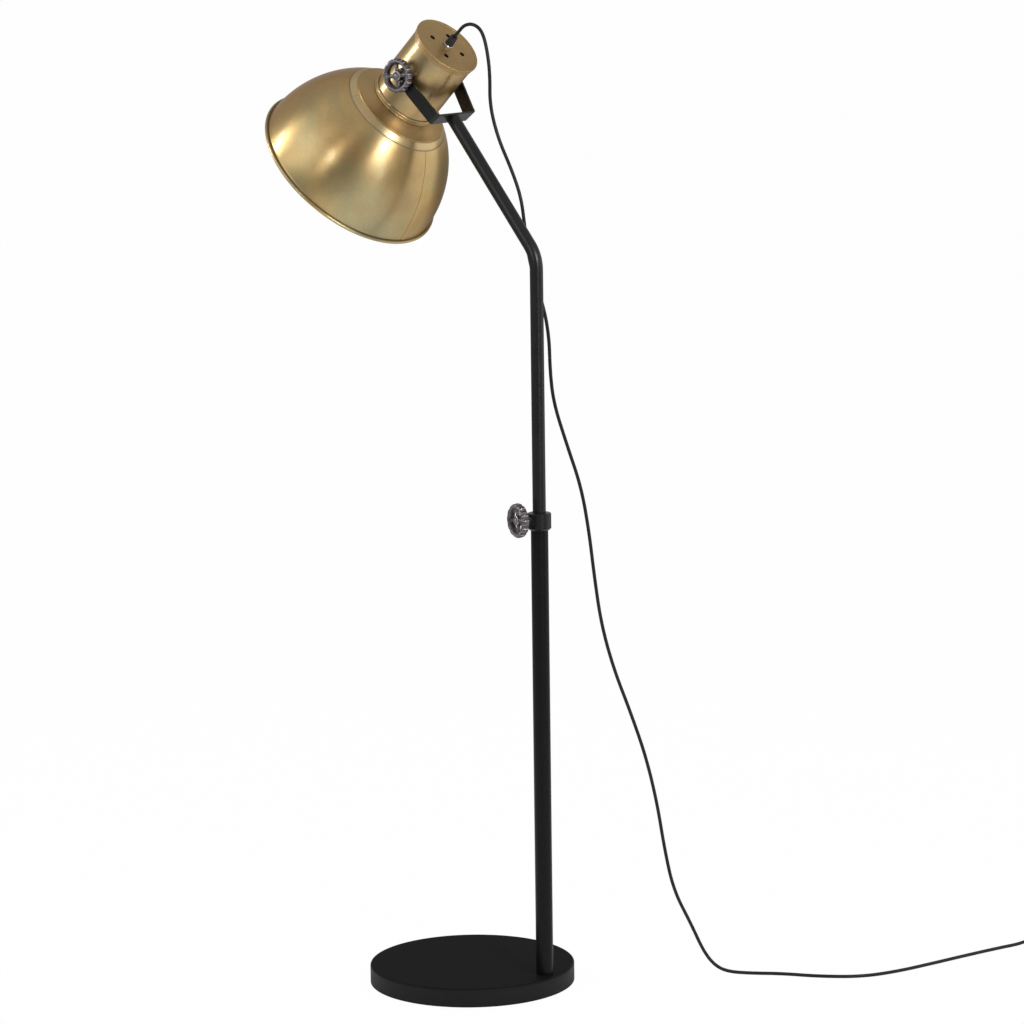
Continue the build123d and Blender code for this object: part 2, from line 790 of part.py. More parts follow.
# Flange ring inside the housing's front end, and the screws that hold the shade on it
with BuildPart() as flange_ring:
    with BuildSketch(head_plane(housing_front)):
        Circle(housing_radius - housing_wall - fit_gap)
        Circle(housing_radius - housing_wall - fit_gap - flange_ring_width, mode=Mode.SUBTRACT)
        with PolarLocations(flange_screw_circle / 2, flange_screw_count):
            Circle(flange_screw_diameter / 2 + fit_gap, mode=Mode.SUBTRACT)
    extrude(amount=-flange_ring_height)
finish(flange_ring.part, "flange_ring")

with BuildPart() as flange_screws:
    with BuildSketch(head_plane(flange_front)):
        with PolarLocations(flange_screw_circle / 2, flange_screw_count):
            Circle(flange_screw_head / 2)
    extrude(amount=flange_screw_head_height)
    with BuildSketch(head_plane(flange_front)):
        with PolarLocations(flange_screw_circle / 2, flange_screw_count):
            Circle(flange_screw_diameter / 2)
    extrude(amount=-flange_screw_length)
finish(flange_screws.part, "flange_screws")


def bend_radii(points):
    """Radius of the arc at each corner, from the shorter run beside it and the turn."""
    radii = []
    for back, here, ahead in zip(points, points[1:], points[2:]):
        run_in = Vector(here) - Vector(back)
        run_out = Vector(ahead) - Vector(here)
        half_turn = radians(run_in.get_angle(run_out)) / 2
        radii.append(0.45 * min(run_in.length, run_out.length) / tan(half_turn))
    return radii


def cord_tube(name, path, start, heading):
    """Round tube along a path, checked by its length and volume."""
    with BuildPart() as tube:
        with BuildSketch(Plane(origin=start, z_dir=heading)):
            Circle(cord_diameter / 2)
        sweep(path=path)
    section = pi * cord_diameter**2 / 4
    share = tube.part.volume / (section * path.length)
    print(f"{name}: length {path.length:.1f}, volume against section x length {share:.4f}")
    finish(tube.part, name)


def cord_piece(name, points):
    """Free stretch of the cord: straight runs joined by arcs."""
    radii = bend_radii(points)
    with BuildLine() as way:
        FilletPolyline(*points, radius=radii)
    print(f"{name}: least radius {min(radii):.1f}")
    cord_tube(name, way.wires()[0], points[0], Vector(points[1]) - Vector(points[0]))


def halfway(count):
    """Middle of the run that follows a number of points of the cord's way."""
    return (cord_way[count - 1] + cord_way[count]) / 2


# Free cord in four stretches, which meet in the middle of a run
cord_way = [cord_exit, cord_exit - head_dir * cord_rise]
cord_way += [Vector(pole_x, pole_y, 0) + Vector(point) for point in cord_points]
cord_piece("cord_head", cord_way[:head_cord_count] + [halfway(head_cord_count)])
cord_piece(
    "cord_pole",
    [halfway(head_cord_count)] + cord_way[head_cord_count:pole_cord_count] + [halfway(pole_cord_count)],
)
cord_piece(
    "cord_drop",
    [halfway(pole_cord_count)] + cord_way[pole_cord_count:drop_cord_count] + [halfway(drop_cord_count)],
)
cord_piece("cord_floor", [halfway(drop_cord_count)] + cord_way[drop_cord_count:])

# Switch: a rounded case in the cord with a tapered relief at each end and a dished rocker
switch_start = cord_way[-1]
switch_dir = (cord_way[-1] - cord_way[-2]).normalized()
switch_side = Vector(-switch_dir.Y, switch_dir.X, 0)
case_start = switch_start + switch_dir * switch_relief_length
case_middle = case_start + switch_dir * (switch_length / 2)
case_end = case_start + switch_dir * switch_length
switch_end = case_end + switch_dir * switch_relief_length
case_floor = Plane(origin=(case_middle.X, case_middle.Y, 0), x_dir=switch_dir, z_dir=(0, 0, 1))
rocker_plane = Plane(
    origin=case_floor.origin + Vector(0, 0, switch_height - rocker_depth),
    x_dir=switch_dir,
    z_dir=switch_side * -1,
)
relief_end = cord_diameter / 2 + relief_wall
with BuildPart() as switch_body:
    with BuildSketch(case_floor):
        RectangleRounded(switch_length, switch_width, switch_corner_radius)
    extrude(amount=switch_height)
    fillet(switch_body.faces().sort_by(Axis.Z)[-1].edges(), switch_edge_radius)
    for tip, root, out in ((switch_start, case_start, -1), (switch_end, case_end, 1)):
        with BuildSketch(Plane(origin=root, z_dir=switch_dir * out)):
            Circle(switch_relief_diameter / 2)
        with BuildSketch(Plane(origin=tip, z_dir=switch_dir * out)):
            Circle(relief_end)
        loft()
    with BuildSketch(rocker_plane):
        Circle(rocker_radius + rocker_gap)
    extrude(amount=rocker_width / 2 + rocker_gap, both=True, mode=Mode.SUBTRACT)
finish(switch_body.part, "switch_body")

dish_height = rocker_radius + rocker_dish_radius - rocker_dish_depth
dish_turn = radians(90 + rocker_rest)
with BuildPart() as switch_rocker:
    with BuildSketch(rocker_plane):
        Circle(rocker_radius)
        with Locations((dish_height * cos(dish_turn), dish_height * sin(dish_turn))):
            Circle(rocker_dish_radius, mode=Mode.SUBTRACT)
    extrude(amount=rocker_width / 2, both=True)
finish(switch_rocker.part, "switch_rocker")

# Coil: the cord beyond the switch lies in two layers of turns, in towards the middle and
# out again above, and leads to the plug
coil_slope = atan2(turn_pitch, 2 * pi * coil_outer_radius)
coil_entry = switch_end + switch_dir * coil_lead
coil_start_angle = atan2(switch_dir.Y, switch_dir.X) - pi / 2 - coil_slope
coil_middle = Vector(
    coil_entry.X - coil_outer_radius * cos(coil_start_angle),
    coil_entry.Y - coil_outer_radius * sin(coil_start_angle),
    coil_height,
)
coil_turns = 2 * coil_turns_per_layer + 0.5
coil_inner_radius = coil_outer_radius - turn_pitch * coil_turns / 2


def coil_point(turn):
    """Point of the coil after a number of turns: in at one height, then out a layer above."""
    climb = min(1, max(0, 2 * (turn - coil_turns_per_layer)))
    radius = coil_outer_radius - turn_pitch * min(turn, coil_turns - turn)
    angle = coil_start_angle + 2 * pi * turn
    return coil_middle + Vector(radius * cos(angle), radius * sin(angle), turn_pitch * climb)


def lead_points(start, heading, length, height):
    """Four points of a straight lead that changes its height in the middle."""
    flat = Vector(heading.X, heading.Y, 0).normalized()
    rise = Vector(0, 0, height - start.Z)
    return [start, start + flat * (0.3 * length), start + flat * (0.7 * length) + rise,
            start + flat * length + rise]


arc_count = round(coil_turns * arcs_per_turn)
with BuildLine() as coil_way:
    lead_in = lead_points(switch_end, switch_dir, coil_lead, coil_height)
    FilletPolyline(*lead_in, radius=bend_radii(lead_in))
    here = lead_in[-1]
    heading = switch_dir
    for step in range(1, arc_count + 1):
        turn_arc = TangentArc(here, coil_point(step / arcs_per_turn), tangent=heading)
        here = turn_arc @ 1
        heading = turn_arc % 1
    lead_out = lead_points(here, heading, plug_lead, plug_thickness / 2)
    FilletPolyline(*lead_out, radius=bend_radii(lead_out))
cord_tube("cord_coil", coil_way.wires()[0], switch_end, switch_dir)

samples = [coil_way.wires()[0] @ (step / 600) for step in range(601)]
sample_step = coil_way.wires()[0].length / 600
apart = int(4 * cord_diameter / sample_step)
self_gap = min(
    (samples[first] - samples[second]).length - cord_diameter
    for first in range(601)
    for second in range(first + apart, 601)
)
print(f"coil: least gap between turns {self_gap:.2f}")

# Tie: a flat band around the coil's turns
tie_turn = Vector(cos(radians(tie_angle)), sin(radians(tie_angle)), 0)
tie_middle = coil_middle + tie_turn * ((coil_inner_radius + coil_outer_radius) / 2)
tie_middle += Vector(0, 0, turn_pitch / 2)
tie_plane = Plane(origin=tie_middle, x_dir=tie_turn, z_dir=tie_turn.cross(Vector(0, 0, 1)))
tie_inside = coil_outer_radius - coil_inner_radius + cord_diameter + 2 * tie_side_gap
tie_tall = turn_pitch + cord_diameter + 2 * tie_gap
with BuildPart() as coil_tie:
    with BuildSketch(tie_plane):
        RectangleRounded(tie_inside + 2 * tie_wall, tie_tall + 2 * tie_wall, 3 * tie_wall)
        RectangleRounded(tie_inside, tie_tall, 2 * tie_wall, mode=Mode.SUBTRACT)
    extrude(amount=tie_width / 2, both=True)
finish(coil_tie.part, "coil_tie")

# Plug: a flat moulded body with a tapered relief and two round pins
plug_start = lead_out[-1]
plug_dir = (lead_out[-1] - lead_out[-2]).normalized()
plug_root = plug_start + plug_dir * plug_relief_length
plug_face = plug_root + plug_dir * plug_body_length
plug_plan = Plane(origin=plug_root, x_dir=plug_dir, z_dir=(0, 0, 1))
pin_plane = Plane(origin=plug_face, x_dir=plug_plan.y_dir, z_dir=plug_dir)
with BuildPart() as plug_body:
    with BuildSketch(plug_plan.offset(-plug_thickness / 2)):
        with BuildLine():
            Polyline(
                (0, -plug_waist / 2),
                (plug_body_length * 0.6, -plug_width / 2),
                (plug_body_length, -plug_width / 2),
                (plug_body_length, plug_width / 2),
                (plug_body_length * 0.6, plug_width / 2),
                (0, plug_waist / 2),
                close=True,
            )
        make_face()
    extrude(amount=plug_thickness)
    fillet(plug_body.edges().filter_by(Axis.Z), plug_edge_radius)
    fillet(plug_body.faces().filter_by(Axis.Z).edges(), plug_edge_radius)
    with BuildSketch(Plane(origin=plug_root, z_dir=plug_dir)):
        Circle(plug_relief_diameter / 2)
    with BuildSketch(Plane(origin=plug_start, z_dir=plug_dir)):
        Circle(relief_end)
    loft()
    with BuildSketch(pin_plane):
        with Locations((-pin_spacing / 2, 0), (pin_spacing / 2, 0)):
            Circle(pin_diameter / 2 + fit_gap)
    extrude(amount=-pin_root, mode=Mode.SUBTRACT)
finish(plug_body.part, "plug_body")

with BuildPart() as plug_pins:
    with BuildSketch(pin_plane.offset(-pin_root)):
        with Locations((-pin_spacing / 2, 0), (pin_spacing / 2, 0)):
            Circle(pin_diameter / 2)
    extrude(amount=pin_root + pin_length)
    pin_tips = plug_pins.faces().filter_by(GeomType.PLANE).sort_by(Axis(plug_face, plug_dir))[-2:]
    fillet(pin_tips.edges(), pin_diameter / 3)
finish(plug_pins.part, "plug_pins")
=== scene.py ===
import json
import math

import bpy
import numpy as np
from mathutils import Matrix, Vector


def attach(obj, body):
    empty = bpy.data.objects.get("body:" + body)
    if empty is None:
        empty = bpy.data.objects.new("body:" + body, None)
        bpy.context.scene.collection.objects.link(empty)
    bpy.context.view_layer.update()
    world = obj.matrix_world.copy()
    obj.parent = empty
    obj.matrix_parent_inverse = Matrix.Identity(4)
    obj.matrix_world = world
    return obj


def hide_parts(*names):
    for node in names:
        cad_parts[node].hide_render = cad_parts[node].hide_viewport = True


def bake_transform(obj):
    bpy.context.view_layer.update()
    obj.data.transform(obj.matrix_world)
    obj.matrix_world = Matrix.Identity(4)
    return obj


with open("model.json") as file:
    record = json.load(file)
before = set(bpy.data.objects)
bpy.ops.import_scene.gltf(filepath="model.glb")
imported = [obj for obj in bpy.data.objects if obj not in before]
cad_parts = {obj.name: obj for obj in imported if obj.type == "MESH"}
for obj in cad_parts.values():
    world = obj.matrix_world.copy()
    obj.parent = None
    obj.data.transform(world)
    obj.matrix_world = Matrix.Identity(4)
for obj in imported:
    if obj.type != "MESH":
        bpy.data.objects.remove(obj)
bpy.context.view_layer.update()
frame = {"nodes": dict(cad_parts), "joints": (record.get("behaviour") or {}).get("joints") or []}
nodes = frame["nodes"]
joints = {joint["name"]: joint for joint in frame["joints"]}


# Camera
# A long lens from the lamp's front right, a little above the shade. The small roll gives
# the pole the lean that it has in the photograph.
camera_azimuth = math.radians(39.07)
camera_yaw = math.radians(0.64)
camera_pitch = math.radians(9.55)
camera_roll = math.radians(-0.75)
camera_distance = 6.0
camera_height = 1.70666

forward = Vector((-math.sin(camera_azimuth), math.cos(camera_azimuth), 0))
right = Vector((math.cos(camera_azimuth), math.sin(camera_azimuth), 0))
up = Vector((0, 0, 1))
place = -forward * camera_distance + up * camera_height
forward, right = (
    forward * math.cos(camera_yaw) + right * math.sin(camera_yaw),
    right * math.cos(camera_yaw) - forward * math.sin(camera_yaw),
)
forward, up = (
    forward * math.cos(camera_pitch) - up * math.sin(camera_pitch),
    up * math.cos(camera_pitch) + forward * math.sin(camera_pitch),
)
right, up = (
    right * math.cos(camera_roll) + up * math.sin(camera_roll),
    up * math.cos(camera_roll) - right * math.sin(camera_roll),
)
camera_data = bpy.data.cameras.new("camera")
camera_data.sensor_width = 36
camera_data.lens = 148.0
camera_data.clip_end = 100
camera = bpy.data.objects.new("camera", camera_data)
turned = Matrix((right, up, -forward)).transposed()
camera.matrix_world = Matrix.Translation(place) @ turned.to_4x4()
bpy.context.scene.collection.objects.link(camera)
bpy.context.scene.camera = camera
bpy.context.scene.view_settings.view_transform = "Standard"


# Floor and light
# A pale floor under a white surround, which the camera sees plain white; for other rays the
# floor's colour darkens away from the lamp, a painted shade of the far floor.
# Soft lights at both sides of the camera and of the lamp, with a dark gap at the camera as in a
# studio.
def new_material(name):
    """A material with its node tree and its Principled shader."""
    material = bpy.data.materials.new(name)
    material.use_nodes = True
    tree = material.node_tree
    return material, tree, tree.nodes["Principled BSDF"]


def map_range(tree, span, values, smooth=False):
    """A node that goes from the first value to the last over a span of its input."""
    node = tree.nodes.new("ShaderNodeMapRange")
    if smooth:
        node.interpolation_type = "SMOOTHSTEP"
    for label, value in zip(("From Min", "From Max", "To Min", "To Max"), (*span, *values)):
        node.inputs[label].default_value = value
    return node


def math_node(tree, operation, second=None):
    """A math node, with its second input set where it is constant."""
    node = tree.nodes.new("ShaderNodeMath")
    node.operation = operation
    if second is not None:
        node.inputs[1].default_value = second
    return node


floor_material, tree, shader = new_material("pale_floor")
shader.inputs["Roughness"].default_value = 0.9
floor_white_share = 0.985
where = tree.nodes.new("ShaderNodeTexCoord")
reach = tree.nodes.new("ShaderNodeVectorMath")
reach.operation = "LENGTH"
# Painted shade: the floor's colour darkens with distance from the lamp, so reflections show a dim
# far floor.
floor_painted_falloff = map_range(tree, (1.4, 4.0), (0.95, 0.42), smooth=True)
tree.links.new(where.outputs["Object"], reach.inputs[0])
tree.links.new(reach.outputs["Value"], floor_painted_falloff.inputs["Value"])
tree.links.new(floor_painted_falloff.outputs["Result"], shader.inputs["Base Color"])
glow = tree.nodes.new("ShaderNodeEmission")
glow.inputs["Color"].default_value = (1, 1, 1, 1)
glow.inputs["Strength"].default_value = 1.0
light_path = tree.nodes.new("ShaderNodeLightPath")
seen = math_node(tree, "MULTIPLY", floor_white_share)
floor_mix = tree.nodes.new("ShaderNodeMixShader")
tree.links.new(light_path.outputs["Is Camera Ray"], seen.inputs[0])
tree.links.new(seen.outputs[0], floor_mix.inputs["Fac"])
tree.links.new(shader.outputs["BSDF"], floor_mix.inputs[1])
tree.links.new(glow.outputs["Emission"], floor_mix.inputs[2])
tree.links.new(floor_mix.outputs["Shader"], tree.nodes["Material Output"].inputs["Surface"])

floor_reach = 30
floor_mesh = bpy.data.meshes.new("floor")
floor_mesh.from_pydata(
    [(-floor_reach, -floor_reach, 0), (floor_reach, -floor_reach, 0),
     (floor_reach, floor_reach, 0), (-floor_reach, floor_reach, 0)],
    [],
    [(0, 1, 2, 3)],
)
floor_mesh.materials.append(floor_material)
floor = bpy.data.objects.new("floor", floor_mesh)
bpy.context.scene.collection.objects.link(floor)

world = bpy.data.worlds.new("studio")
world.use_nodes = True
bpy.context.scene.world = world
tree = world.node_tree
surround = tree.nodes["Background"]
surround.inputs["Color"].default_value = (0.80, 0.80, 0.80, 1)
where = tree.nodes.new("ShaderNodeTexCoord")
across = Vector((math.cos(camera_azimuth), math.sin(camera_azimuth), 0))
towards = Vector((math.sin(camera_azimuth), -math.cos(camera_azimuth), 0))
facing = tree.nodes.new("ShaderNodeVectorMath")
facing.operation = "DOT_PRODUCT"
facing.inputs[1].default_value = towards
gap = map_range(tree, (0.72, 0.98), (0.64, 0.27), smooth=True)
tree.links.new(where.outputs["Generated"], facing.inputs[0])
tree.links.new(facing.outputs["Value"], gap.inputs["Value"])
tree.links.new(gap.outputs["Result"], surround.inputs["Strength"])
white = tree.nodes.new("ShaderNodeBackground")
white.inputs["Color"].default_value = (1, 1, 1, 1)
light_path = tree.nodes.new("ShaderNodeLightPath")
world_mix = tree.nodes.new("ShaderNodeMixShader")
tree.links.new(light_path.outputs["Is Camera Ray"], world_mix.inputs["Fac"])
tree.links.new(surround.outputs["Background"], world_mix.inputs[1])
tree.links.new(white.outputs["Background"], world_mix.inputs[2])
tree.links.new(world_mix.outputs["Shader"], tree.nodes["World Output"].inputs["Surface"])

shade_middle = Vector((-0.14, 0, 1.22))
for name, side, rise, ahead, distance, width, tall, watts in (
    ("left_front_light", -0.46, 0.21, 0.86, 2.6, 0.24, 0.45, 4.6),
    ("right_front_light", 0.50, 0.23, 0.83, 2.6, 0.28, 0.42, 14),
    ("right_high_light", 0.64, 0.33, 0.69, 2.7, 0.55, 0.6, 9),
    ("right_strip", 0.50, -0.12, 0.86, 2.7, 0.20, 1.1, 3.0),
    ("left_light", -0.94, 0.29, -0.20, 2.2, 0.36, 0.7, 10),
    ("left_fill", -0.80, 0.34, 0.40, 2.8, 2.0, 1.6, 9),
    ("right_light", 0.95, -0.08, -0.10, 2.6, 2.4, 1.8, 8),
):
    light_data = bpy.data.lights.new(name, "AREA")
    light_data.shape = "RECTANGLE"
    light_data.size = width
    light_data.size_y = tall
    light_data.energy = watts
    light = bpy.data.objects.new(name, light_data)
    aim = across * side + towards * ahead + Vector((0, 0, rise))
    light.location = shade_middle + aim * distance
    light.rotation_euler = aim.to_track_quat("Z", "Y").to_euler()
    bpy.context.scene.collection.objects.link(light)


# Cord
# One round lead from the cap's grip to the plug. Its line is a smooth spline over a route that is
# measured from the pole's axis, and the unseen end is wound in two layers beside the plug.
cord_width = 0.005
cord_points = [
    (-0.14263, 0.00000, 1.38100),
    (-0.13586, 0.00000, 1.38766),
    (-0.1245, 0.0004, 1.3982),
    (-0.1090, 0.0016, 1.3997),
    (-0.0960, 0.0040, 1.3904),
    (-0.0895, 0.0065, 1.3660),
    (-0.0855, 0.0080, 1.3290),
    (-0.0880, 0.0095, 1.2850),
    (-0.0765, 0.0130, 1.2380),
    (-0.0545, 0.0155, 1.1940),
    (-0.0395, 0.0170, 1.1560),
    (-0.0350, 0.0185, 1.1180),
    (-0.0305, 0.0190, 1.0800),
    (-0.0205, 0.0205, 1.0400),
    (-0.0060, 0.0245, 0.9980),
    (-0.0010, 0.0290, 0.9550),
    (-0.0005, 0.0295, 0.9080),
    (0.0025, 0.0330, 0.8620),
    (0.0135, 0.0490, 0.8000),
    (0.0245, 0.0670, 0.7380),
    (0.0310, 0.0760, 0.6720),
    (0.0355, 0.0820, 0.6040),
    (0.0410, 0.0900, 0.5350),
    (0.0505, 0.1060, 0.4680),
    (0.0635, 0.1280, 0.4020),
    (0.0755, 0.1490, 0.3330),
    (0.0840, 0.1640, 0.2620),
    (0.0895, 0.1740, 0.1920),
    (0.0965, 0.1860, 0.1280),
    (0.1105, 0.2110, 0.0720),
    (0.1205, 0.2270, 0.0300),
    (0.1355, 0.2340, 0.0090),
    (0.1585, 0.2350, 0.0026),
    (0.1915, 0.2480, 0.0026),
    (0.2295, 0.2730, 0.0026),
    (0.2815, 0.2920, 0.0026),
    (0.3335, 0.3270, 0.0026),
    (0.3605, 0.3810, 0.0026),
    (0.3795, 0.4490, 0.0026),
    (0.3965, 0.5160, 0.0026),
    (0.4145, 0.5800, 0.0026),
    (0.4260, 0.6127, 0.0026),
    (0.4340, 0.6338, 0.0060),
    (0.4395, 0.6480, 0.0060),
]
head_cord_count = 12
pole_cord_count = 16
pole_axis = Vector((joints["swivel"]["pos_m"][0], joints["swivel"]["pos_m"][1], 0))
cord_route = [pole_axis + Vector(point) for point in cord_points]
coil_radius = 0.030
coil_pitch = 0.0056
coil_turns = 2.25
coil_steps = 16
coil_base = 0.0042
coil_lead = 0.030
coil_half_climb = 0.25
switch_total = 0.072
switch_straight, switch_ramp_end = 0.009, 0.021
plug_straight, plug_ramp_end, plug_lead = 0.008, 0.018, 0.026
plug_axis = 0.00675

ahead = (cord_route[-1] - cord_route[-2]).normalized()
switch_exit = cord_route[-1] + ahead * switch_total
coil_entry = switch_exit + ahead * coil_lead
slope = math.atan2(coil_pitch, 2 * math.pi * coil_radius)
start_angle = math.atan2(ahead.y, ahead.x) - math.pi / 2 - slope
coil_centre = Vector((coil_entry.x, coil_entry.y, coil_base)) - coil_radius * Vector(
    (math.cos(start_angle), math.sin(start_angle), 0)
)
route = cord_route + [switch_exit, switch_exit + ahead * switch_straight]
route.append(
    switch_exit + ahead * switch_ramp_end + Vector((0, 0, coil_base - switch_exit.z))
)
for step in range(int(coil_turns * coil_steps) + 1):
    turn = step / coil_steps
    climb = min(1, max(0, 2 * (turn - coil_turns / 2 + coil_half_climb)))
    radius = coil_radius - coil_pitch * min(turn, coil_turns - turn)
    angle = start_angle + 2 * math.pi * turn
    route.append(
        coil_centre
        + Vector((radius * math.cos(angle), radius * math.sin(angle), coil_pitch * climb))
    )
leaving_angle = start_angle + 2 * math.pi * coil_turns + math.pi / 2 - slope
leaving = Vector((math.cos(leaving_angle), math.sin(leaving_angle), 0))
coil_exit = route[-1]
drop = Vector((0, 0, plug_axis - coil_exit.z))
route.append(coil_exit + leaving * plug_straight)
route.append(coil_exit + leaving * plug_ramp_end + drop)
route.append(coil_exit + leaving * plug_lead + drop)

curve = bpy.data.curves.new("cord_line", "CURVE")
curve.dimensions = "3D"
curve.resolution_u = 10
spline = curve.splines.new("NURBS")
spline.points.add(len(route) - 1)
for point, position in zip(spline.points, route):
    point.co = (*position, 1)
spline.order_u = 3
spline.use_endpoint_u = True
line_object = bpy.data.objects.new("cord_line", curve)
bpy.context.scene.collection.objects.link(line_object)
line_mesh = bpy.data.meshes.new_from_object(line_object)
line = np.array([vertex.co for vertex in line_mesh.vertices])
bpy.data.objects.remove(line_object)
bpy.data.meshes.remove(line_mesh)


def tube_faces(rings, sides):
    """Quads between rings of points in turn, and a face at each end."""
    faces = []
    for low in range(0, (rings - 1) * sides, sides):
        for k in range(sides):
            nxt = (k + 1) % sides
            faces.append((low + k, low + nxt, low + sides + nxt, low + sides + k))
    faces.append(tuple(range(sides - 1, -1, -1)))
    faces.append(tuple(range((rings - 1) * sides, rings * sides)))
    return faces


def lead_tube(name, path):
    """A round tube: at each point of the path a circle of the cord's radius, in a frame that
    turns as little as possible from one point to the next."""
    sides = 20
    around = np.linspace(0, 2 * math.pi, sides, endpoint=False)
    section = 0.5 * cord_width * np.stack([np.cos(around), np.sin(around)], axis=1)
    tangent = np.gradient(path, axis=0)
    tangent /= np.linalg.norm(tangent, axis=1, keepdims=True)
    side = np.cross(tangent[0], (0, 1, 0))
    rings = []
    for index, point in enumerate(path):
        side = side - tangent[index] * np.dot(side, tangent[index])
        side /= np.linalg.norm(side)
        other = np.cross(tangent[index], side)
        rings.append(point + section[:, :1] * side + section[:, 1:] * other)
    mesh = bpy.data.meshes.new(name)
    mesh.from_pydata(np.concatenate(rings).tolist(), [], tube_faces(len(path), sides))
    mesh.polygons.foreach_set("use_smooth", [True] * len(mesh.polygons))
    piece = bpy.data.objects.new(name, mesh)
    bpy.context.scene.collection.objects.link(piece)
    return piece


cord_material, tree, shader = new_material("black_lead")
shader.inputs["Roughness"].default_value = 0.42
shader.inputs["Specular IOR Level"].default_value = 0.3
where = tree.nodes.new("ShaderNodeTexCoord")
scuff = tree.nodes.new("ShaderNodeTexNoise")
scuff.inputs["Scale"].default_value = 90
scuff.inputs["Detail"].default_value = 3
ramp = tree.nodes.new("ShaderNodeValToRGB")
ramp.color_ramp.elements[0].color = (0.006, 0.006, 0.0065, 1)
ramp.color_ramp.elements[1].color = (0.015, 0.015, 0.0155, 1)
bump = tree.nodes.new("ShaderNodeBump")
bump.inputs["Strength"].default_value = 0.15
bump.inputs["Distance"].default_value = 0.0003
tree.links.new(where.outputs["Object"], scuff.inputs["Vector"])
tree.links.new(scuff.outputs["Fac"], ramp.inputs["Fac"])
tree.links.new(ramp.outputs["Color"], shader.inputs["Base Color"])
tree.links.new(scuff.outputs["Fac"], bump.inputs["Height"])
tree.links.new(bump.outputs["Normal"], shader.inputs["Normal"])


def nearest(position):
    """Index of the cord line's point nearest to a position."""
    return int(np.argmin(np.linalg.norm(line - np.array(position), axis=1)))


head_split = nearest((route[head_cord_count - 1] + route[head_cord_count]) / 2)
pole_split = nearest((route[pole_cord_count - 1] + route[pole_cord_count]) / 2)
cord_upper = lead_tube("cord_upper", line[: head_split + 1])
cord_middle = lead_tube("cord_middle", line[head_split : pole_split + 1])
cord_lower = lead_tube("cord_lower", line[pole_split:])
for piece in (cord_upper, cord_middle, cord_lower):
    piece.data.materials.append(cord_material)
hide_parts("cord_head")
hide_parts("cord_pole")
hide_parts("cord_drop", "cord_floor", "cord_coil")
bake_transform(cord_upper)
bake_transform(cord_middle)
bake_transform(cord_lower)


# Stand
# Black paint, a cloudy sheen over a fine orange-peel skin: satin on the lower tube, glossier on
# the upper tube, collar, yoke and stop, and flat on the cover, most of all on its top, whose
# colour is darkened as painted shade.
def new_group(name, inputs, outputs):
    """A shader node group with named sockets, and its input and output nodes."""
    group = bpy.data.node_groups.new(name, "ShaderNodeTree")
    for label, kind in inputs:
        group.interface.new_socket(name=label, in_out="INPUT", socket_type=kind)
    for label, kind in outputs:
        group.interface.new_socket(name=label, in_out="OUTPUT", socket_type=kind)
    return group, group.nodes.new("NodeGroupInput"), group.nodes.new("NodeGroupOutput")


def use_group(tree, group, shader, outputs):
    """Put a group into a material and link its outputs to the shader's sockets."""
    node = tree.nodes.new("ShaderNodeGroup")
    node.node_tree = group
    for label, socket in outputs:
        tree.links.new(node.outputs[label], shader.inputs[socket])
    return node


def colour_mix(tree):
    """A node that mixes two colours."""
    node = tree.nodes.new("ShaderNodeMix")
    node.data_type = "RGBA"
    return node


paint_group, group_in, group_out = new_group(
    "Satin Skin",
    [("Dark", "NodeSocketColor"), ("Light", "NodeSocketColor"), ("Cloud Scale", "NodeSocketFloat"),
     ("Peel Scale", "NodeSocketFloat"), ("Least Roughness", "NodeSocketFloat"),
     ("Most Roughness", "NodeSocketFloat"), ("Peel Depth", "NodeSocketFloat")],
    [("Colour", "NodeSocketColor"), ("Roughness", "NodeSocketFloat"),
     ("Normal", "NodeSocketVector")],
)
where = paint_group.nodes.new("ShaderNodeTexCoord")
cloud = paint_group.nodes.new("ShaderNodeTexNoise")
cloud.inputs["Detail"].default_value = 5
cloud.inputs["Roughness"].default_value = 0.6
peel = paint_group.nodes.new("ShaderNodeTexNoise")
peel.inputs["Detail"].default_value = 2
tone = colour_mix(paint_group)
sheen = paint_group.nodes.new("ShaderNodeMapRange")
skin = paint_group.nodes.new("ShaderNodeBump")
skin.inputs["Strength"].default_value = 0.35
link = paint_group.links.new
link(where.outputs["Object"], cloud.inputs["Vector"])
link(where.outputs["Object"], peel.inputs["Vector"])
link(group_in.outputs["Cloud Scale"], cloud.inputs["Scale"])
link(group_in.outputs["Peel Scale"], peel.inputs["Scale"])
link(cloud.outputs["Fac"], tone.inputs["Factor"])
link(group_in.outputs["Dark"], tone.inputs["A"])
link(group_in.outputs["Light"], tone.inputs["B"])
link(cloud.outputs["Fac"], sheen.inputs["Value"])
link(group_in.outputs["Least Roughness"], sheen.inputs["To Min"])
link(group_in.outputs["Most Roughness"], sheen.inputs["To Max"])
link(peel.outputs["Fac"], skin.inputs["Height"])
link(group_in.outputs["Peel Depth"], skin.inputs["Distance"])
link(tone.outputs["Result"], group_out.inputs["Colour"])
link(sheen.outputs["Result"], group_out.inputs["Roughness"])
link(skin.outputs["Normal"], group_out.inputs["Normal"])


def satin_material(name, dark, light, cloud_scale, peel_scale, roughness, depth):
    """A material whose colour, roughness and bump come from the satin skin group."""
    material, tree, shader = new_material(name)
    node = use_group(
        tree, paint_group, shader,
        [("Colour", "Base Color"), ("Roughness", "Roughness"), ("Normal", "Normal")],
    )
    node.inputs["Dark"].default_value = (*dark, 1)
    node.inputs["Light"].default_value = (*light, 1)
    node.inputs["Cloud Scale"].default_value = cloud_scale
    node.inputs["Peel Scale"].default_value = peel_scale
    node.inputs["Least Roughness"].default_value = roughness[0]
    node.inputs["Most Roughness"].default_value = roughness[1]
    node.inputs["Peel Depth"].default_value = depth
    return material, shader


def dress(node, material):
    """Give a solid of the frame one material."""
    nodes[node].data.materials.clear()
    nodes[node].data.materials.append(material)


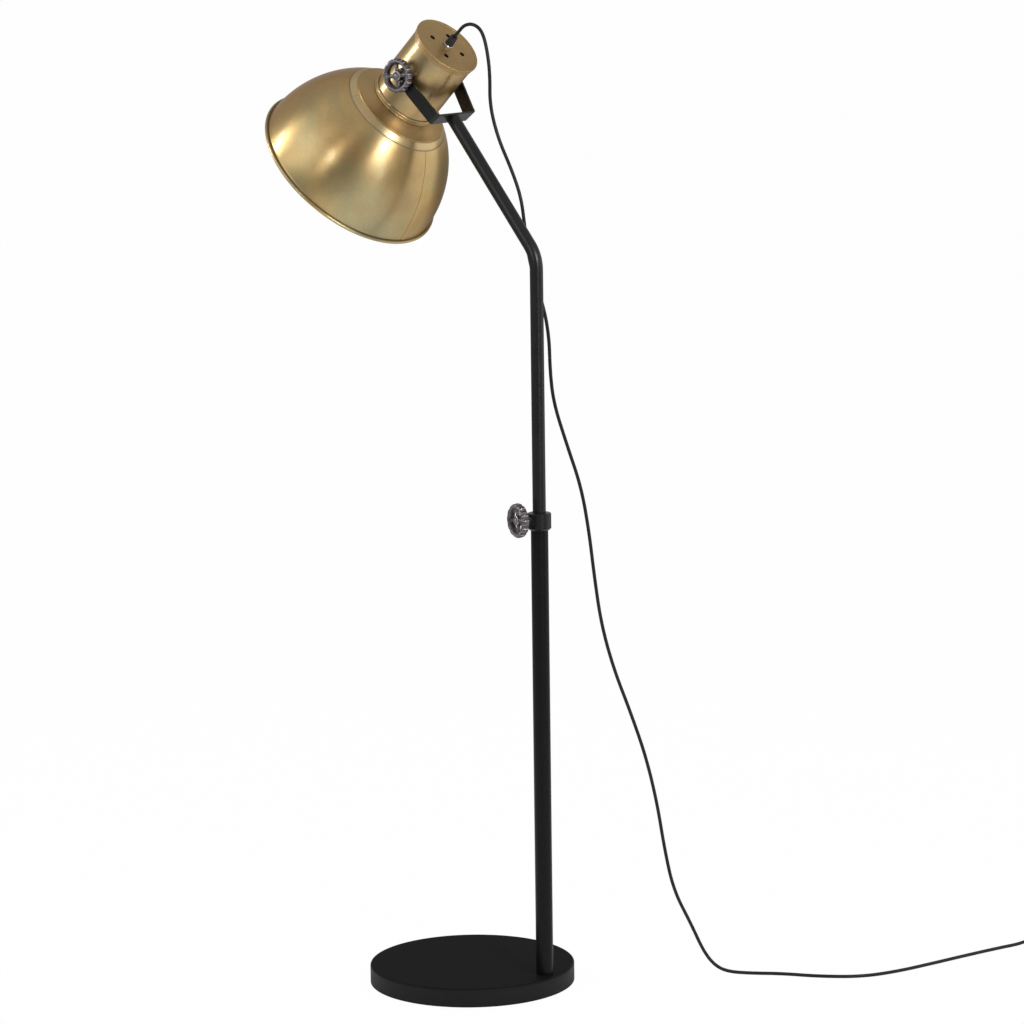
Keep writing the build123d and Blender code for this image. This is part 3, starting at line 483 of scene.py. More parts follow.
for name, gloss, painted in (
    ("lower_paint", 0.18, ("lower_tube",)),
    ("black_paint", 0.46, ("collar", "upper_tube", "yoke", "tilt_stop")),
):
    paint, shader = satin_material(
        name, dark=(0.0028, 0.0028, 0.0030), light=(0.0060, 0.0058, 0.0056),
        cloud_scale=28, peel_scale=1500, roughness=(0.27, 0.38), depth=0.00002,
    )
    shader.inputs["Specular IOR Level"].default_value = gloss
    for node in painted:
        dress(node, paint)

base_paint, shader = satin_material(
    "base_paint", dark=(0.0085, 0.0085, 0.0088), light=(0.0135, 0.0132, 0.0130),
    cloud_scale=22, peel_scale=1500, roughness=(0.46, 0.60), depth=0.00006,
)
cover_top = max(corner[2] for corner in nodes["base_cover"].bound_box)
edge_round = 0.004
side_gloss, top_gloss = 0.17, 0.014
# Painted shade: the cover's colour is scaled down towards its top face.
top_painted_shade = 0.8
tree = base_paint.node_tree
where = tree.nodes.new("ShaderNodeTexCoord")
height = tree.nodes.new("ShaderNodeSeparateXYZ")
edge = (cover_top - edge_round, cover_top)
height_gloss = map_range(tree, edge, (side_gloss, top_gloss))
height_painted_shade = map_range(tree, edge, (1.0, top_painted_shade))
painted_shade_colour = tree.nodes.new("ShaderNodeVectorMath")
painted_shade_colour.operation = "SCALE"
tree.links.new(where.outputs["Object"], height.inputs["Vector"])
tree.links.new(height.outputs["Z"], height_gloss.inputs["Value"])
tree.links.new(height.outputs["Z"], height_painted_shade.inputs["Value"])
tree.links.new(shader.inputs["Base Color"].links[0].from_socket, painted_shade_colour.inputs["Vector"])
tree.links.new(height_painted_shade.outputs["Result"], painted_shade_colour.inputs["Scale"])
tree.links.new(painted_shade_colour.outputs["Vector"], shader.inputs["Base Color"])
tree.links.new(height_gloss.outputs["Result"], shader.inputs["Specular IOR Level"])
dress("base_cover", base_paint)

felt, shader = satin_material(
    "felt", dark=(0.012, 0.012, 0.013), light=(0.035, 0.035, 0.036),
    cloud_scale=700, peel_scale=2400, roughness=(0.9, 1.0), depth=0.0006,
)
shader.inputs["Sheen Weight"].default_value = 0.4
dress("base_pad", felt)
cast_iron, _ = satin_material(
    "cast_iron", dark=(0.03, 0.03, 0.032), light=(0.07, 0.068, 0.066),
    cloud_scale=60, peel_scale=800, roughness=(0.6, 0.8), depth=0.0004,
)
dress("base_weight", cast_iron)
nylon, _ = satin_material(
    "nylon", dark=(0.55, 0.54, 0.50), light=(0.66, 0.65, 0.61),
    cloud_scale=40, peel_scale=900, roughness=(0.4, 0.55), depth=0.00005,
)
for node in ("guide_bush", "slide_bush", "friction_washers"):
    dress(node, nylon)
bright_steel, shader = satin_material(
    "bright_steel", dark=(0.42, 0.41, 0.40), light=(0.58, 0.57, 0.55),
    cloud_scale=120, peel_scale=2600, roughness=(0.26, 0.40), depth=0.00003,
)
shader.inputs["Metallic"].default_value = 1
for node in (
    "foot_washer", "foot_bolt", "foot_plug", "outer_washers", "pivot_screw", "pivot_bosses",
    "flange_ring", "flange_screws", "nipple", "nipple_nut", "gland_nut", "plug_pins",
):
    dress(node, bright_steel)


# Handwheels
# Two cast wheels of dark metal: a deep rim with finger scallops, four spokes and a hub, melted
# together so that their corners are filled as on a casting, and rubbed bright on the high parts.
wheel_rim_radius = 0.02075
wheel_rim_half = 0.00425
wheel_rim_half_depth = 0.0060
wheel_scallops = 12
wheel_scallop_depth = 0.0021
wheel_spokes = 4
wheel_spoke_turn = math.radians(7)
wheel_spoke_start = 0.003
wheel_spoke_half_widths = (0.0036, 0.0027)
wheel_spoke_half_depths = (0.0028, 0.0022)
wheel_hub = [(0.0070, -0.0070), (0.0075, -0.0064), (0.0075, 0.0031), (0.0064, 0.0045)]
wheel_voxel = 0.00042


def grid_faces(rows, columns):
    """Quads of a grid of points that closes in both directions."""
    faces = []
    for i in range(rows):
        for j in range(columns):
            a, b = i * columns + j, i * columns + (j + 1) % columns
            c, d = ((i + 1) % rows) * columns + (j + 1) % columns, ((i + 1) % rows) * columns + j
            faces.append((a, b, c, d))
    return faces


def wheel_mesh(name, axis_place, axis, upwards):
    """One wheel about an axis. The rim is a ring of oval section whose outer half sinks by the
    scallop depth times a rounded pulse, twelve times around; spokes are oval bars that thin
    outwards; the hub is a drum. Wear is how far each point stands out from its neighbours."""
    rim_steps, section_steps = 240, 36
    turns = np.linspace(0, 2 * math.pi, rim_steps, endpoint=False)
    around = np.linspace(0, 2 * math.pi, section_steps, endpoint=False)
    theta, phi = np.meshgrid(turns, around, indexing="ij")
    pulse = np.clip(np.cos(wheel_scallops * theta + math.pi), 0, 1) ** 0.8
    sink = wheel_scallop_depth * pulse * np.clip(np.cos(phi), 0, 1)
    radius = wheel_rim_radius + wheel_rim_half * np.cos(phi) - sink
    depth = wheel_rim_half_depth * np.sin(phi)
    rim = np.stack([radius * np.cos(theta), radius * np.sin(theta), depth], axis=2).reshape(-1, 3)
    shapes = [(rim, grid_faces(rim_steps, section_steps))]
    spoke_rings, spoke_sides = 8, 16
    spoke_span = (wheel_spoke_start, wheel_rim_radius)
    ends = np.linspace(*spoke_span, spoke_rings)
    wide = np.interp(ends, spoke_span, wheel_spoke_half_widths)
    thick = np.interp(ends, spoke_span, wheel_spoke_half_depths)
    for spoke in range(wheel_spokes):
        angle = wheel_spoke_turn + 2 * math.pi * spoke / wheel_spokes
        bar = []
        for along, half_wide, half_thick in zip(ends, wide, thick):
            for turn in np.linspace(0, 2 * math.pi, spoke_sides, endpoint=False):
                bar.append((along, half_wide * math.cos(turn), half_thick * math.sin(turn)))
        bar = np.array(bar)
        turned = np.stack(
            [bar[:, 0] * math.cos(angle) - bar[:, 1] * math.sin(angle),
             bar[:, 0] * math.sin(angle) + bar[:, 1] * math.cos(angle), bar[:, 2]], axis=1
        )
        shapes.append((turned, tube_faces(spoke_rings, spoke_sides)))
    hub_sides = 48
    hub = [
        (radius * math.cos(turn), radius * math.sin(turn), height)
        for radius, height in wheel_hub
        for turn in np.linspace(0, 2 * math.pi, hub_sides, endpoint=False)
    ]
    shapes.append((np.array(hub), tube_faces(len(wheel_hub), hub_sides)))
    vertices, faces = [], []
    for points, quads in shapes:
        start = sum(len(part) for part in vertices)
        vertices.append(points)
        faces += [tuple(start + index for index in quad) for quad in quads]
    mesh = bpy.data.meshes.new(name)
    mesh.from_pydata(np.concatenate(vertices).tolist(), [], faces)
    rough = bpy.data.objects.new(name + "_rough", mesh)
    bpy.context.scene.collection.objects.link(rough)
    melt = rough.modifiers.new("melt", "REMESH")
    melt.mode = "VOXEL"
    melt.voxel_size = wheel_voxel
    soften = rough.modifiers.new("soften", "SMOOTH")
    soften.factor = 0.5
    soften.iterations = 5
    evaluated = rough.evaluated_get(bpy.context.evaluated_depsgraph_get())
    cast = bpy.data.meshes.new_from_object(evaluated)
    bpy.data.objects.remove(rough)
    turned_to = Matrix((upwards.cross(axis), upwards, axis)).transposed()
    cast.transform(Matrix.Translation(axis_place) @ turned_to.to_4x4())
    cast.name = name
    edges = np.zeros(len(cast.edges) * 2, int)
    cast.edges.foreach_get("vertices", edges)
    edges = edges.reshape(-1, 2)
    points = np.zeros(len(cast.vertices) * 3)
    cast.vertices.foreach_get("co", points)
    points = points.reshape(-1, 3)
    normals = np.zeros(len(cast.vertices) * 3)
    cast.vertices.foreach_get("normal", normals)
    normals = normals.reshape(-1, 3)
    total = np.zeros_like(points)
    count = np.zeros(len(points))
    np.add.at(total, edges[:, 0], points[edges[:, 1]])
    np.add.at(total, edges[:, 1], points[edges[:, 0]])
    np.add.at(count, edges.ravel(), 1)
    bulge = np.einsum("ij,ij->i", points - total / count[:, None], normals)
    least, most = np.percentile(bulge, (45, 99))
    wear = np.clip((bulge - least) / (most - least), 0, 1)
    mark = cast.attributes.new("wear", "FLOAT", "POINT")
    mark.data.foreach_set("value", wear.astype(np.float32))
    cast.polygons.foreach_set("use_smooth", [True] * len(cast.polygons))
    piece = bpy.data.objects.new(name, cast)
    bpy.context.scene.collection.objects.link(piece)
    return piece


gunmetal, tree, shader = new_material("gunmetal")
shader.inputs["Metallic"].default_value = 1
where = tree.nodes.new("ShaderNodeTexCoord")
pits = tree.nodes.new("ShaderNodeTexNoise")
pits.inputs["Scale"].default_value = 420
pits.inputs["Detail"].default_value = 4
rubbed = tree.nodes.new("ShaderNodeAttribute")
rubbed.attribute_name = "wear"
spread = math_node(tree, "MULTIPLY_ADD", 0.75)
spread.use_clamp = True
shift = math_node(tree, "MULTIPLY_ADD", 0.9)
shift.inputs[2].default_value = -0.42
metal_tone = tree.nodes.new("ShaderNodeValToRGB")
metal_tone.color_ramp.elements[0].color = (0.11, 0.097, 0.102, 1)
metal_tone.color_ramp.elements[1].color = (0.86, 0.83, 0.83, 1)
middle = metal_tone.color_ramp.elements.new(0.45)
middle.color = (0.38, 0.35, 0.355, 1)
metal_sheen = map_range(tree, (0, 1), (0.45, 0.24))
pitting = tree.nodes.new("ShaderNodeBump")
pitting.inputs["Strength"].default_value = 0.3
pitting.inputs["Distance"].default_value = 0.0002
tree.links.new(where.outputs["Object"], pits.inputs["Vector"])
tree.links.new(pits.outputs["Fac"], shift.inputs[0])
tree.links.new(rubbed.outputs["Fac"], spread.inputs[0])
tree.links.new(shift.outputs[0], spread.inputs[2])
tree.links.new(spread.outputs[0], metal_tone.inputs["Fac"])
tree.links.new(spread.outputs[0], metal_sheen.inputs["Value"])
tree.links.new(metal_tone.outputs["Color"], shader.inputs["Base Color"])
tree.links.new(metal_sheen.outputs["Result"], shader.inputs["Roughness"])
tree.links.new(pits.outputs["Fac"], pitting.inputs["Height"])
tree.links.new(pitting.outputs["Normal"], shader.inputs["Normal"])

for name, joint, body, solid in (
    ("clamp_handwheel", "clamp_turn", "clamp", "clamp_wheel"),
    ("tilt_handwheel", "tilt_turn", "tilt_knob", "tilt_wheel"),
):
    wheel = wheel_mesh(
        name, Vector(joints[joint]["pos_m"]), Vector(joints[joint]["axis"]), Vector((0, 0, 1))
    )
    wheel.data.materials.append(gunmetal)
    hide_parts(solid)
    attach(wheel, body)


# Screws of the clamps
# Rolled threads on both clamp screws, with a rubbed domed end outside the wheel.
dull_steel, shader = satin_material(
    "dull_steel", dark=(0.22, 0.205, 0.21), light=(0.34, 0.32, 0.325),
    cloud_scale=150, peel_scale=2600, roughness=(0.34, 0.48), depth=0.00003,
)
shader.inputs["Metallic"].default_value = 1
thread_radius = 0.0039
thread_pitch = 0.00125
thread_depth = 0.00055
thread_runout = 0.001
dome_share = 0.92


def threaded_screw(name, place, axis, back, front, dome):
    """A screw from back to front along an axis. The radius falls by the thread's depth times a
    triangle wave of the height over the pitch less the turn, and rounds off to the domed end."""
    rows_per_pitch, sides = 10, 40
    rows = int((front - back) / (thread_pitch / rows_per_pitch))
    heights = np.linspace(back, front, rows)
    turns = np.linspace(0, 2 * math.pi, sides, endpoint=False)
    height, turn = np.meshgrid(heights, turns, indexing="ij")
    wave = np.abs(((height / thread_pitch - turn / (2 * math.pi)) % 1) * 2 - 1)
    smooth_end = np.clip((front - dome - height) / thread_runout, 0, 1)
    radius = thread_radius - thread_depth * wave * smooth_end
    left = np.clip((front - height) / dome, 0, 1)
    radius = radius * np.sqrt(1 - (1 - left) ** 2 * dome_share)
    points = np.stack([radius * np.cos(turn), radius * np.sin(turn), height], axis=2)
    mesh = bpy.data.meshes.new(name)
    mesh.from_pydata(points.reshape(-1, 3).tolist(), [], tube_faces(rows, sides))
    turned = Vector((0, 0, 1)).rotation_difference(axis).to_matrix().to_4x4()
    mesh.transform(Matrix.Translation(place) @ turned)
    mesh.polygons.foreach_set("use_smooth", [True] * len(mesh.polygons))
    mesh.materials.append(dull_steel)
    piece = bpy.data.objects.new(name, mesh)
    bpy.context.scene.collection.objects.link(piece)
    return piece


clamp_thread = threaded_screw(
    "clamp_thread", Vector(joints["clamp_turn"]["pos_m"]), Vector(joints["clamp_turn"]["axis"]),
    back=-0.0252, front=0.0060, dome=0.0026,
)
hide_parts("clamp_screw")
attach(clamp_thread, "clamp")
tilt_thread = threaded_screw(
    "tilt_thread", Vector(joints["tilt_turn"]["pos_m"]), Vector(joints["tilt_turn"]["axis"]),
    back=-0.0188, front=0.0060, dome=0.0026,
)
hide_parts("tilt_screw")
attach(tilt_thread, "tilt_knob")


# Antique brass
# The finish of the head: soft clouds of pale gold, olive and brown, finer mottling and darker
# stains under a thin lacquer, with dark joint lines and painted shade in the folds, a painted
# highlight that makes a piece paler, and brown patina where a piece has it, which on the dome's
# upper side is partly painted shade.
brass_group, group_in, group_out = new_group(
    "Antique Brass",
    [("Gold", "NodeSocketColor"), ("Olive", "NodeSocketColor"), ("Brown", "NodeSocketColor"),
     ("Brown Share", "NodeSocketFloat"), ("Cloud Scale", "NodeSocketFloat"),
     ("Dullness", "NodeSocketFloat"), ("Patina_And_Top_Shade", "NodeSocketFloat"),
     ("Painted_Highlight", "NodeSocketFloat"), ("Joint_Dirt_And_Fold_Shade", "NodeSocketFloat")],
    [("Colour", "NodeSocketColor"), ("Roughness", "NodeSocketFloat"),
     ("Normal", "NodeSocketVector")],
)
where = brass_group.nodes.new("ShaderNodeTexCoord")
cloud = brass_group.nodes.new("ShaderNodeTexNoise")
cloud.inputs["Detail"].default_value = 4
cloud.inputs["Roughness"].default_value = 0.55
cloud.inputs["Distortion"].default_value = 0.6
cloud_shape = map_range(brass_group, (0.36, 0.64), (0, 1), smooth=True)
stain = brass_group.nodes.new("ShaderNodeTexNoise")
stain.inputs["Scale"].default_value = 6.5
stain.inputs["Detail"].default_value = 3
stain.inputs["Roughness"].default_value = 0.65
stain_shape = map_range(brass_group, (0.42, 0.75), (0, 1), smooth=True)
stain_share = math_node(brass_group, "MULTIPLY")
mottle = brass_group.nodes.new("ShaderNodeTexNoise")
mottle.inputs["Scale"].default_value = 240
mottle.inputs["Detail"].default_value = 5
cloud_mix = colour_mix(brass_group)
stain_mix = colour_mix(brass_group)
mottle_mix = colour_mix(brass_group)
mottle_mix.blend_type = "OVERLAY"
mottle_mix.inputs["Factor"].default_value = 0.16
dull = map_range(brass_group, (0, 1), (0.27, 0.41))
wave = brass_group.nodes.new("ShaderNodeTexNoise")
wave.inputs["Scale"].default_value = 26
wave.inputs["Detail"].default_value = 1
# Brown patina, which on the dome's upper side is partly painted shade.
patina_and_top_shade_mix = colour_mix(brass_group)
# Painted highlight: a paler colour mixed in where a piece asks for it.
painted_highlight_mix = colour_mix(brass_group)
painted_highlight_mix.inputs["B"].default_value = (0.80, 0.69, 0.48, 1)
patina_and_top_shade_dull = math_node(brass_group, "MULTIPLY_ADD", 0.2)
# Dark colour of the seam and tick joints, and painted shade in the folds and creases.
joint_dirt_and_fold_shade_mix = colour_mix(brass_group)
joint_dirt_and_fold_shade_mix.inputs["B"].default_value = (0.028, 0.016, 0.007, 1)
piece_dull = math_node(brass_group, "ADD")
joint_dirt_and_fold_shade_dull = math_node(brass_group, "MULTIPLY_ADD", 0.35)
relief = math_node(brass_group, "MULTIPLY_ADD", 0.02)
surface = brass_group.nodes.new("ShaderNodeBump")
surface.inputs["Strength"].default_value = 0.5
surface.inputs["Distance"].default_value = 0.0012
link = brass_group.links.new
for texture in (cloud, stain, mottle, wave):
    link(where.outputs["Object"], texture.inputs["Vector"])
link(group_in.outputs["Cloud Scale"], cloud.inputs["Scale"])
link(cloud.outputs["Fac"], cloud_shape.inputs["Value"])
link(cloud_shape.outputs["Result"], cloud_mix.inputs["Factor"])
link(group_in.outputs["Gold"], cloud_mix.inputs["A"])
link(group_in.outputs["Olive"], cloud_mix.inputs["B"])
link(stain.outputs["Fac"], stain_shape.inputs["Value"])
link(stain_shape.outputs["Result"], stain_share.inputs[0])
link(group_in.outputs["Brown Share"], stain_share.inputs[1])
link(stain_share.outputs[0], stain_mix.inputs["Factor"])
link(cloud_mix.outputs["Result"], stain_mix.inputs["A"])
link(group_in.outputs["Brown"], stain_mix.inputs["B"])
link(group_in.outputs["Patina_And_Top_Shade"], patina_and_top_shade_mix.inputs["Factor"])
link(stain_mix.outputs["Result"], patina_and_top_shade_mix.inputs["A"])
link(group_in.outputs["Brown"], patina_and_top_shade_mix.inputs["B"])
link(group_in.outputs["Painted_Highlight"], painted_highlight_mix.inputs["Factor"])
link(patina_and_top_shade_mix.outputs["Result"], painted_highlight_mix.inputs["A"])
link(painted_highlight_mix.outputs["Result"], mottle_mix.inputs["A"])
link(mottle.outputs["Color"], mottle_mix.inputs["B"])
link(stain.outputs["Fac"], dull.inputs["Value"])
link(mottle.outputs["Fac"], relief.inputs[0])
link(wave.outputs["Fac"], relief.inputs[2])
link(relief.outputs[0], surface.inputs["Height"])
link(group_in.outputs["Joint_Dirt_And_Fold_Shade"], joint_dirt_and_fold_shade_mix.inputs["Factor"])
link(mottle_mix.outputs["Result"], joint_dirt_and_fold_shade_mix.inputs["A"])
link(joint_dirt_and_fold_shade_mix.outputs["Result"], group_out.inputs["Colour"])
link(group_in.outputs["Joint_Dirt_And_Fold_Shade"], joint_dirt_and_fold_shade_dull.inputs[0])
link(group_in.outputs["Patina_And_Top_Shade"], patina_and_top_shade_dull.inputs[0])
link(dull.outputs["Result"], patina_and_top_shade_dull.inputs[2])
link(patina_and_top_shade_dull.outputs[0], piece_dull.inputs[0])
link(group_in.outputs["Dullness"], piece_dull.inputs[1])
link(piece_dull.outputs[0], joint_dirt_and_fold_shade_dull.inputs[2])
link(joint_dirt_and_fold_shade_dull.outputs[0], group_out.inputs["Roughness"])
link(surface.outputs["Normal"], group_out.inputs["Normal"])


def brass_material(name, gold, olive, brown, brown_share, cloud_scale, dullness, anisotropy):
    """Metal whose colour, roughness and bump come from the antique brass group, with lights drawn
    out across the lathe lines."""
    material, tree, shader = new_material(name)
    shader.inputs["Metallic"].default_value = 1
    shader.inputs["Specular Tint"].default_value = (0.58, 0.40, 0.24, 1)
    shader.inputs["Coat Weight"].default_value = 0.55
    shader.inputs["Coat Roughness"].default_value = 0.16
    shader.inputs["Anisotropic"].default_value = anisotropy
    if anisotropy > 0:
        lathe = tree.nodes.new("ShaderNodeTangent")
        lathe.direction_type = "UV_MAP"
        lathe.uv_map = "lathe"
        tree.links.new(lathe.outputs["Tangent"], shader.inputs["Tangent"])
    node = use_group(
        tree, brass_group, shader,
        [("Colour", "Base Color"), ("Roughness", "Roughness"), ("Normal", "Normal")],
    )
    node.inputs["Gold"].default_value = (*gold, 1)
    node.inputs["Olive"].default_value = (*olive, 1)
    node.inputs["Brown"].default_value = (*brown, 1)
    node.inputs["Brown Share"].default_value = brown_share
    node.inputs["Cloud Scale"].default_value = cloud_scale
    node.inputs["Dullness"].default_value = dullness
    for label in ("Patina_And_Top_Shade", "Painted_Highlight", "Joint_Dirt_And_Fold_Shade"):
        mark = tree.nodes.new("ShaderNodeAttribute")
        mark.attribute_name = label.lower()
        tree.links.new(mark.outputs["Fac"], node.inputs[label])
    return material


# Housing, cap and neck
# The spun tube with its flat vented cap and the double bead at its front end.
pivot = Vector(joints["head_tilt"]["pos_m"])
head_lean = math.radians(45.5)
head_dir = Vector((-math.sin(head_lean), 0, -math.cos(head_lean)))
head_side = Vector((math.cos(head_lean), 0, -math.sin(head_lean)))


def spun(name, profile, turns, material, push=0.0, marks=()):
    """A closed profile of (radius, way along the head's axis), spun about that axis: each point is
    the pivot plus the way along the axis plus the radius and its push in the turned direction.
    The map's first axis runs along the profile. Marks are named values per point."""
    profile = np.array(profile)
    out = np.outer(np.cos(turns), head_side) + np.outer(np.sin(turns), (0, 1, 0))
    radius = profile[:, 0][:, None] + np.zeros(len(turns)) + push
    points = (
        np.array(pivot)
        + profile[:, 1][:, None, None] * np.array(head_dir)
        + radius[:, :, None] * out[None]
    ).reshape(-1, 3)
    mesh = bpy.data.meshes.new(name)
    mesh.from_pydata(points.tolist(), [], grid_faces(len(profile), len(turns)))
    mesh.polygons.foreach_set("use_smooth", [True] * len(mesh.polygons))
    mesh.set_sharp_from_angle(angle=math.radians(34))
    mesh.materials.append(material)
    rows, columns = np.meshgrid(np.arange(len(profile)), np.arange(len(turns)), indexing="ij")
    along = np.stack([rows, rows, rows + 1, rows + 1], axis=2) / len(profile)
    about = np.stack([columns, columns + 1, columns + 1, columns], axis=2) / len(turns)
    lathe = mesh.uv_layers.new(name="lathe")
    lathe.data.foreach_set("uv", np.stack([along, about], axis=3).astype(np.float32).ravel())
    for label, values in marks:
        mark = mesh.attributes.new(label, "FLOAT", "POINT")
        mark.data.foreach_set("value", np.asarray(values, np.float32).ravel())
    piece = bpy.data.objects.new(name, mesh)
    bpy.context.scene.collection.objects.link(piece)
    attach(piece, "head")
    return piece


def arc(centre, radius, start, end, count):
    """Points of a circle's arc in the profile plane, from one angle to another in degrees."""
    angles = np.radians(np.linspace(start, end, count))
    return [(centre[0] + radius * math.cos(a), centre[1] + radius * math.sin(a)) for a in angles]


def fold(distance, half):
    """One on a line, falling evenly to nothing at a half width to either side."""
    return np.clip(1 - np.abs(distance) / half, 0, 1)


housing_brass = brass_material(
    "housing_brass", gold=(0.60, 0.42, 0.19), olive=(0.46, 0.36, 0.18), brown=(0.40, 0.23, 0.09),
    brown_share=0.6, cloud_scale=13, dullness=0, anisotropy=0.55,
)
cap_brass = brass_material(
    "cap_brass", gold=(0.54, 0.36, 0.15), olive=(0.46, 0.32, 0.14), brown=(0.42, 0.23, 0.09),
    brown_share=0.6, cloud_scale=16, dullness=0.22, anisotropy=0,
)
even_turns = np.linspace(0, 2 * math.pi, 256, endpoint=False)
housing_radius, housing_bore = 0.0485, 0.0476
housing_back, housing_front = -0.0559, 0.0569
housing_tube = spun(
    "housing_tube",
    [(housing_radius, way) for way in np.linspace(housing_back, housing_front, 60)]
    + [(housing_bore, way) for way in np.linspace(housing_front, housing_back, 30)],
    even_turns, housing_brass,
)
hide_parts("housing")
neck_bore, neck_radius = 0.04856, 0.0495
neck_back, neck_front = 0.0491, 0.05695
bead_middle, bead_radius = 0.0494, 0.0016
first_bead, second_bead = 0.0514, 0.0553
# Painted shade: darker colour along the neck's back edge, between the beads and where it meets the
# shoulder.
neck_folds = ((0.5, neck_back), (0.85, 0.05335), (0.85, 0.0570))
neck_fold_half = 0.0007
neck_profile = [(neck_bore, neck_back), (neck_radius, neck_back)]
neck_profile += arc((bead_middle, first_bead), bead_radius, -75, 75, 14)
neck_profile += arc((bead_middle, second_bead), bead_radius, -70, 70, 14)
neck_profile += [(neck_radius, neck_front), (neck_bore, neck_front)]
neck_way = np.array(neck_profile)[:, 1][:, None] * np.ones((1, len(even_turns)))
neck_fold_shade = sum(
    share * fold(neck_way - line_way, neck_fold_half) for share, line_way in neck_folds
)
neck_beads = spun(
    "neck_beads", neck_profile, even_turns, housing_brass,
    marks=[("joint_dirt_and_fold_shade", neck_fold_shade)],
)
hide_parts("shade_neck")
dress("cap", cap_brass)
lip_profile = [(0.0466, -0.0570), (0.0466, -0.0574), (0.0469, -0.0578)]
lip_profile += [(0.0476, -0.0580), (0.0496, -0.0580)]
lip_profile += arc((0.0498, -0.0568), 0.0012, -90, 0, 8) + [(0.0510, -0.0562)]
spun("cap_lip", lip_profile, even_turns, cap_brass)


# Shade
# One spun dome with a shoulder, a bright step, a pale ring, a groove darkened by painted shade and
# a rolled rim. A folded seam runs down the dome towards the arm.
shade_wall = 0.0010
dome_start = (0.0811, 0.0764)
dome_end = (0.1406, 0.1998)
dome_rise = 0.0137
chord = math.hypot(dome_end[0] - dome_start[0], dome_end[1] - dome_start[1])
dome_radius = (chord**2 / 4 + dome_rise**2) / (2 * dome_rise)
middle = ((dome_start[0] + dome_end[0]) / 2, (dome_start[1] + dome_end[1]) / 2)
outward = ((dome_end[1] - dome_start[1]) / chord, -(dome_end[0] - dome_start[0]) / chord)
dome_centre = (
    middle[0] - outward[0] * (dome_radius - dome_rise),
    middle[1] - outward[1] * (dome_radius - dome_rise),
)
dome_from, dome_to = (
    math.degrees(math.atan2(end[1] - dome_centre[1], end[0] - dome_centre[0]))
    for end in (dome_start, dome_end)
)
outside = [(0.0352, 0.0570), (0.0500, 0.0570), (0.0506, 0.0571)]
outside += [(0.0600, 0.0615), (0.0712, 0.0667)]
outside += arc((0.0713, 0.0676), 0.0010, -65, 0, 6) + [(0.0723, 0.0684)]
outside += [(0.0726, 0.0690), (0.0732, 0.0695), (0.0770, 0.0727), (0.0802, 0.0754)]
outside += [(0.0805, 0.0759), (0.0807, 0.0764)]
outside += arc(dome_centre, dome_radius, dome_from + 0.5, dome_to, 60)
outside += [(0.1408, 0.2004), (0.1411, 0.2011)]
rim = arc((0.1427, 0.2040), 0.0024, -125, 195, 34)
inside = arc(dome_centre, dome_radius - shade_wall, dome_to, dome_from, 50)
inside += [(0.0798, 0.0774), (0.0725, 0.0709), (0.0712, 0.0690)]
inside += [(0.0500, 0.0580), (0.0352, 0.0580)]
shade_brass = brass_material(
    "shade_brass", gold=(0.67, 0.48, 0.20), olive=(0.47, 0.40, 0.21), brown=(0.46, 0.27, 0.105),
    brown_share=0.75, cloud_scale=7, dullness=0, anisotropy=0.68,
)
profile = np.array(outside + rim + inside)
seam = math.radians(-4)
lap = math.radians(5.5)
ticks = [math.radians(248), math.radians(316)]
shade_turns = np.linspace(0, 2 * math.pi, 300, endpoint=False)
close = np.array([-0.011, -0.0055, -0.0035, -0.0015, 0.0015, 0.0035, 0.0055, 0.011])
for line_turn in [seam, seam + lap] + ticks:
    shade_turns = np.concatenate([shade_turns, (line_turn + close) % (2 * math.pi)])
shade_turns = np.sort(shade_turns)


def beside(turn):
    """Signed angle of each meridian of the shade from one turn, within half a turn either way."""
    return (shade_turns - turn + math.pi) % (2 * math.pi) - math.pi


seam_half, tick_half = 0.0045, 0.0055
lap_height, seam_depth = 0.00025, 0.00035
lap_from, lap_climb, lap_fall = 0.002, 0.003, 0.02
shoulder_edge, ring_edge, dome_edge = 0.0685, 0.0694, 0.0762
dome_run_in = 0.0004
rim_line, rim_half = 0.2012, 0.0013
ring_line, ring_half = 0.0761, 0.0007
step_line, step_half = 0.0686, 0.0006
every_turn = np.ones((1, len(shade_turns)))
way = profile[:, 1][:, None]
outer = (np.arange(len(profile)) < len(outside)).astype(float)[:, None]
on_dome = outer * np.clip((way - dome_edge) / dome_run_in, 0, 1)
groove = fold(beside(seam), seam_half)[None]
raised = np.clip((beside(seam) - lap_from) / lap_climb, 0, 1)
raised = raised * np.clip((lap - beside(seam)) / lap_fall, 0, 1)
shade_push = on_dome * (lap_height * raised[None] - seam_depth * groove)
tick = sum(fold(beside(turn), tick_half) for turn in ticks)[None]
on_ring = outer * ((way > ring_edge) & (way < dome_edge))
rim_fold = fold(way - rim_line, rim_half) * every_turn
ring_fold = outer * fold(way - ring_line, ring_half)
step_fold = outer * fold(way - step_line, step_half)
# Dark joint lines along the seam and the ring's ticks, and painted shade in the folds at the rim,
# the ring's groove and the step.
lampshade_joints_and_fold_shade = np.clip(
    0.85 * on_dome * groove + 0.7 * on_ring * tick + rim_fold * (outer + 0.7 * (1 - outer))
    + 0.75 * ring_fold + 0.35 * step_fold, 0, 1
)
# Browner on the dome's upper side, partly patina and partly painted shade; the shoulder's brown is
# patina.
top_side = np.clip((-np.cos(shade_turns) - 0.05) / 0.95, 0, 1)[None] ** 1.5
lampshade_patina_and_top_shade = outer * (0.55 * (way < shoulder_edge) + 0.9 * (way > dome_edge) * top_side)
# Painted highlight: the pale ring's colour is made paler.
ring_painted_highlight = 0.2 * on_ring * every_turn
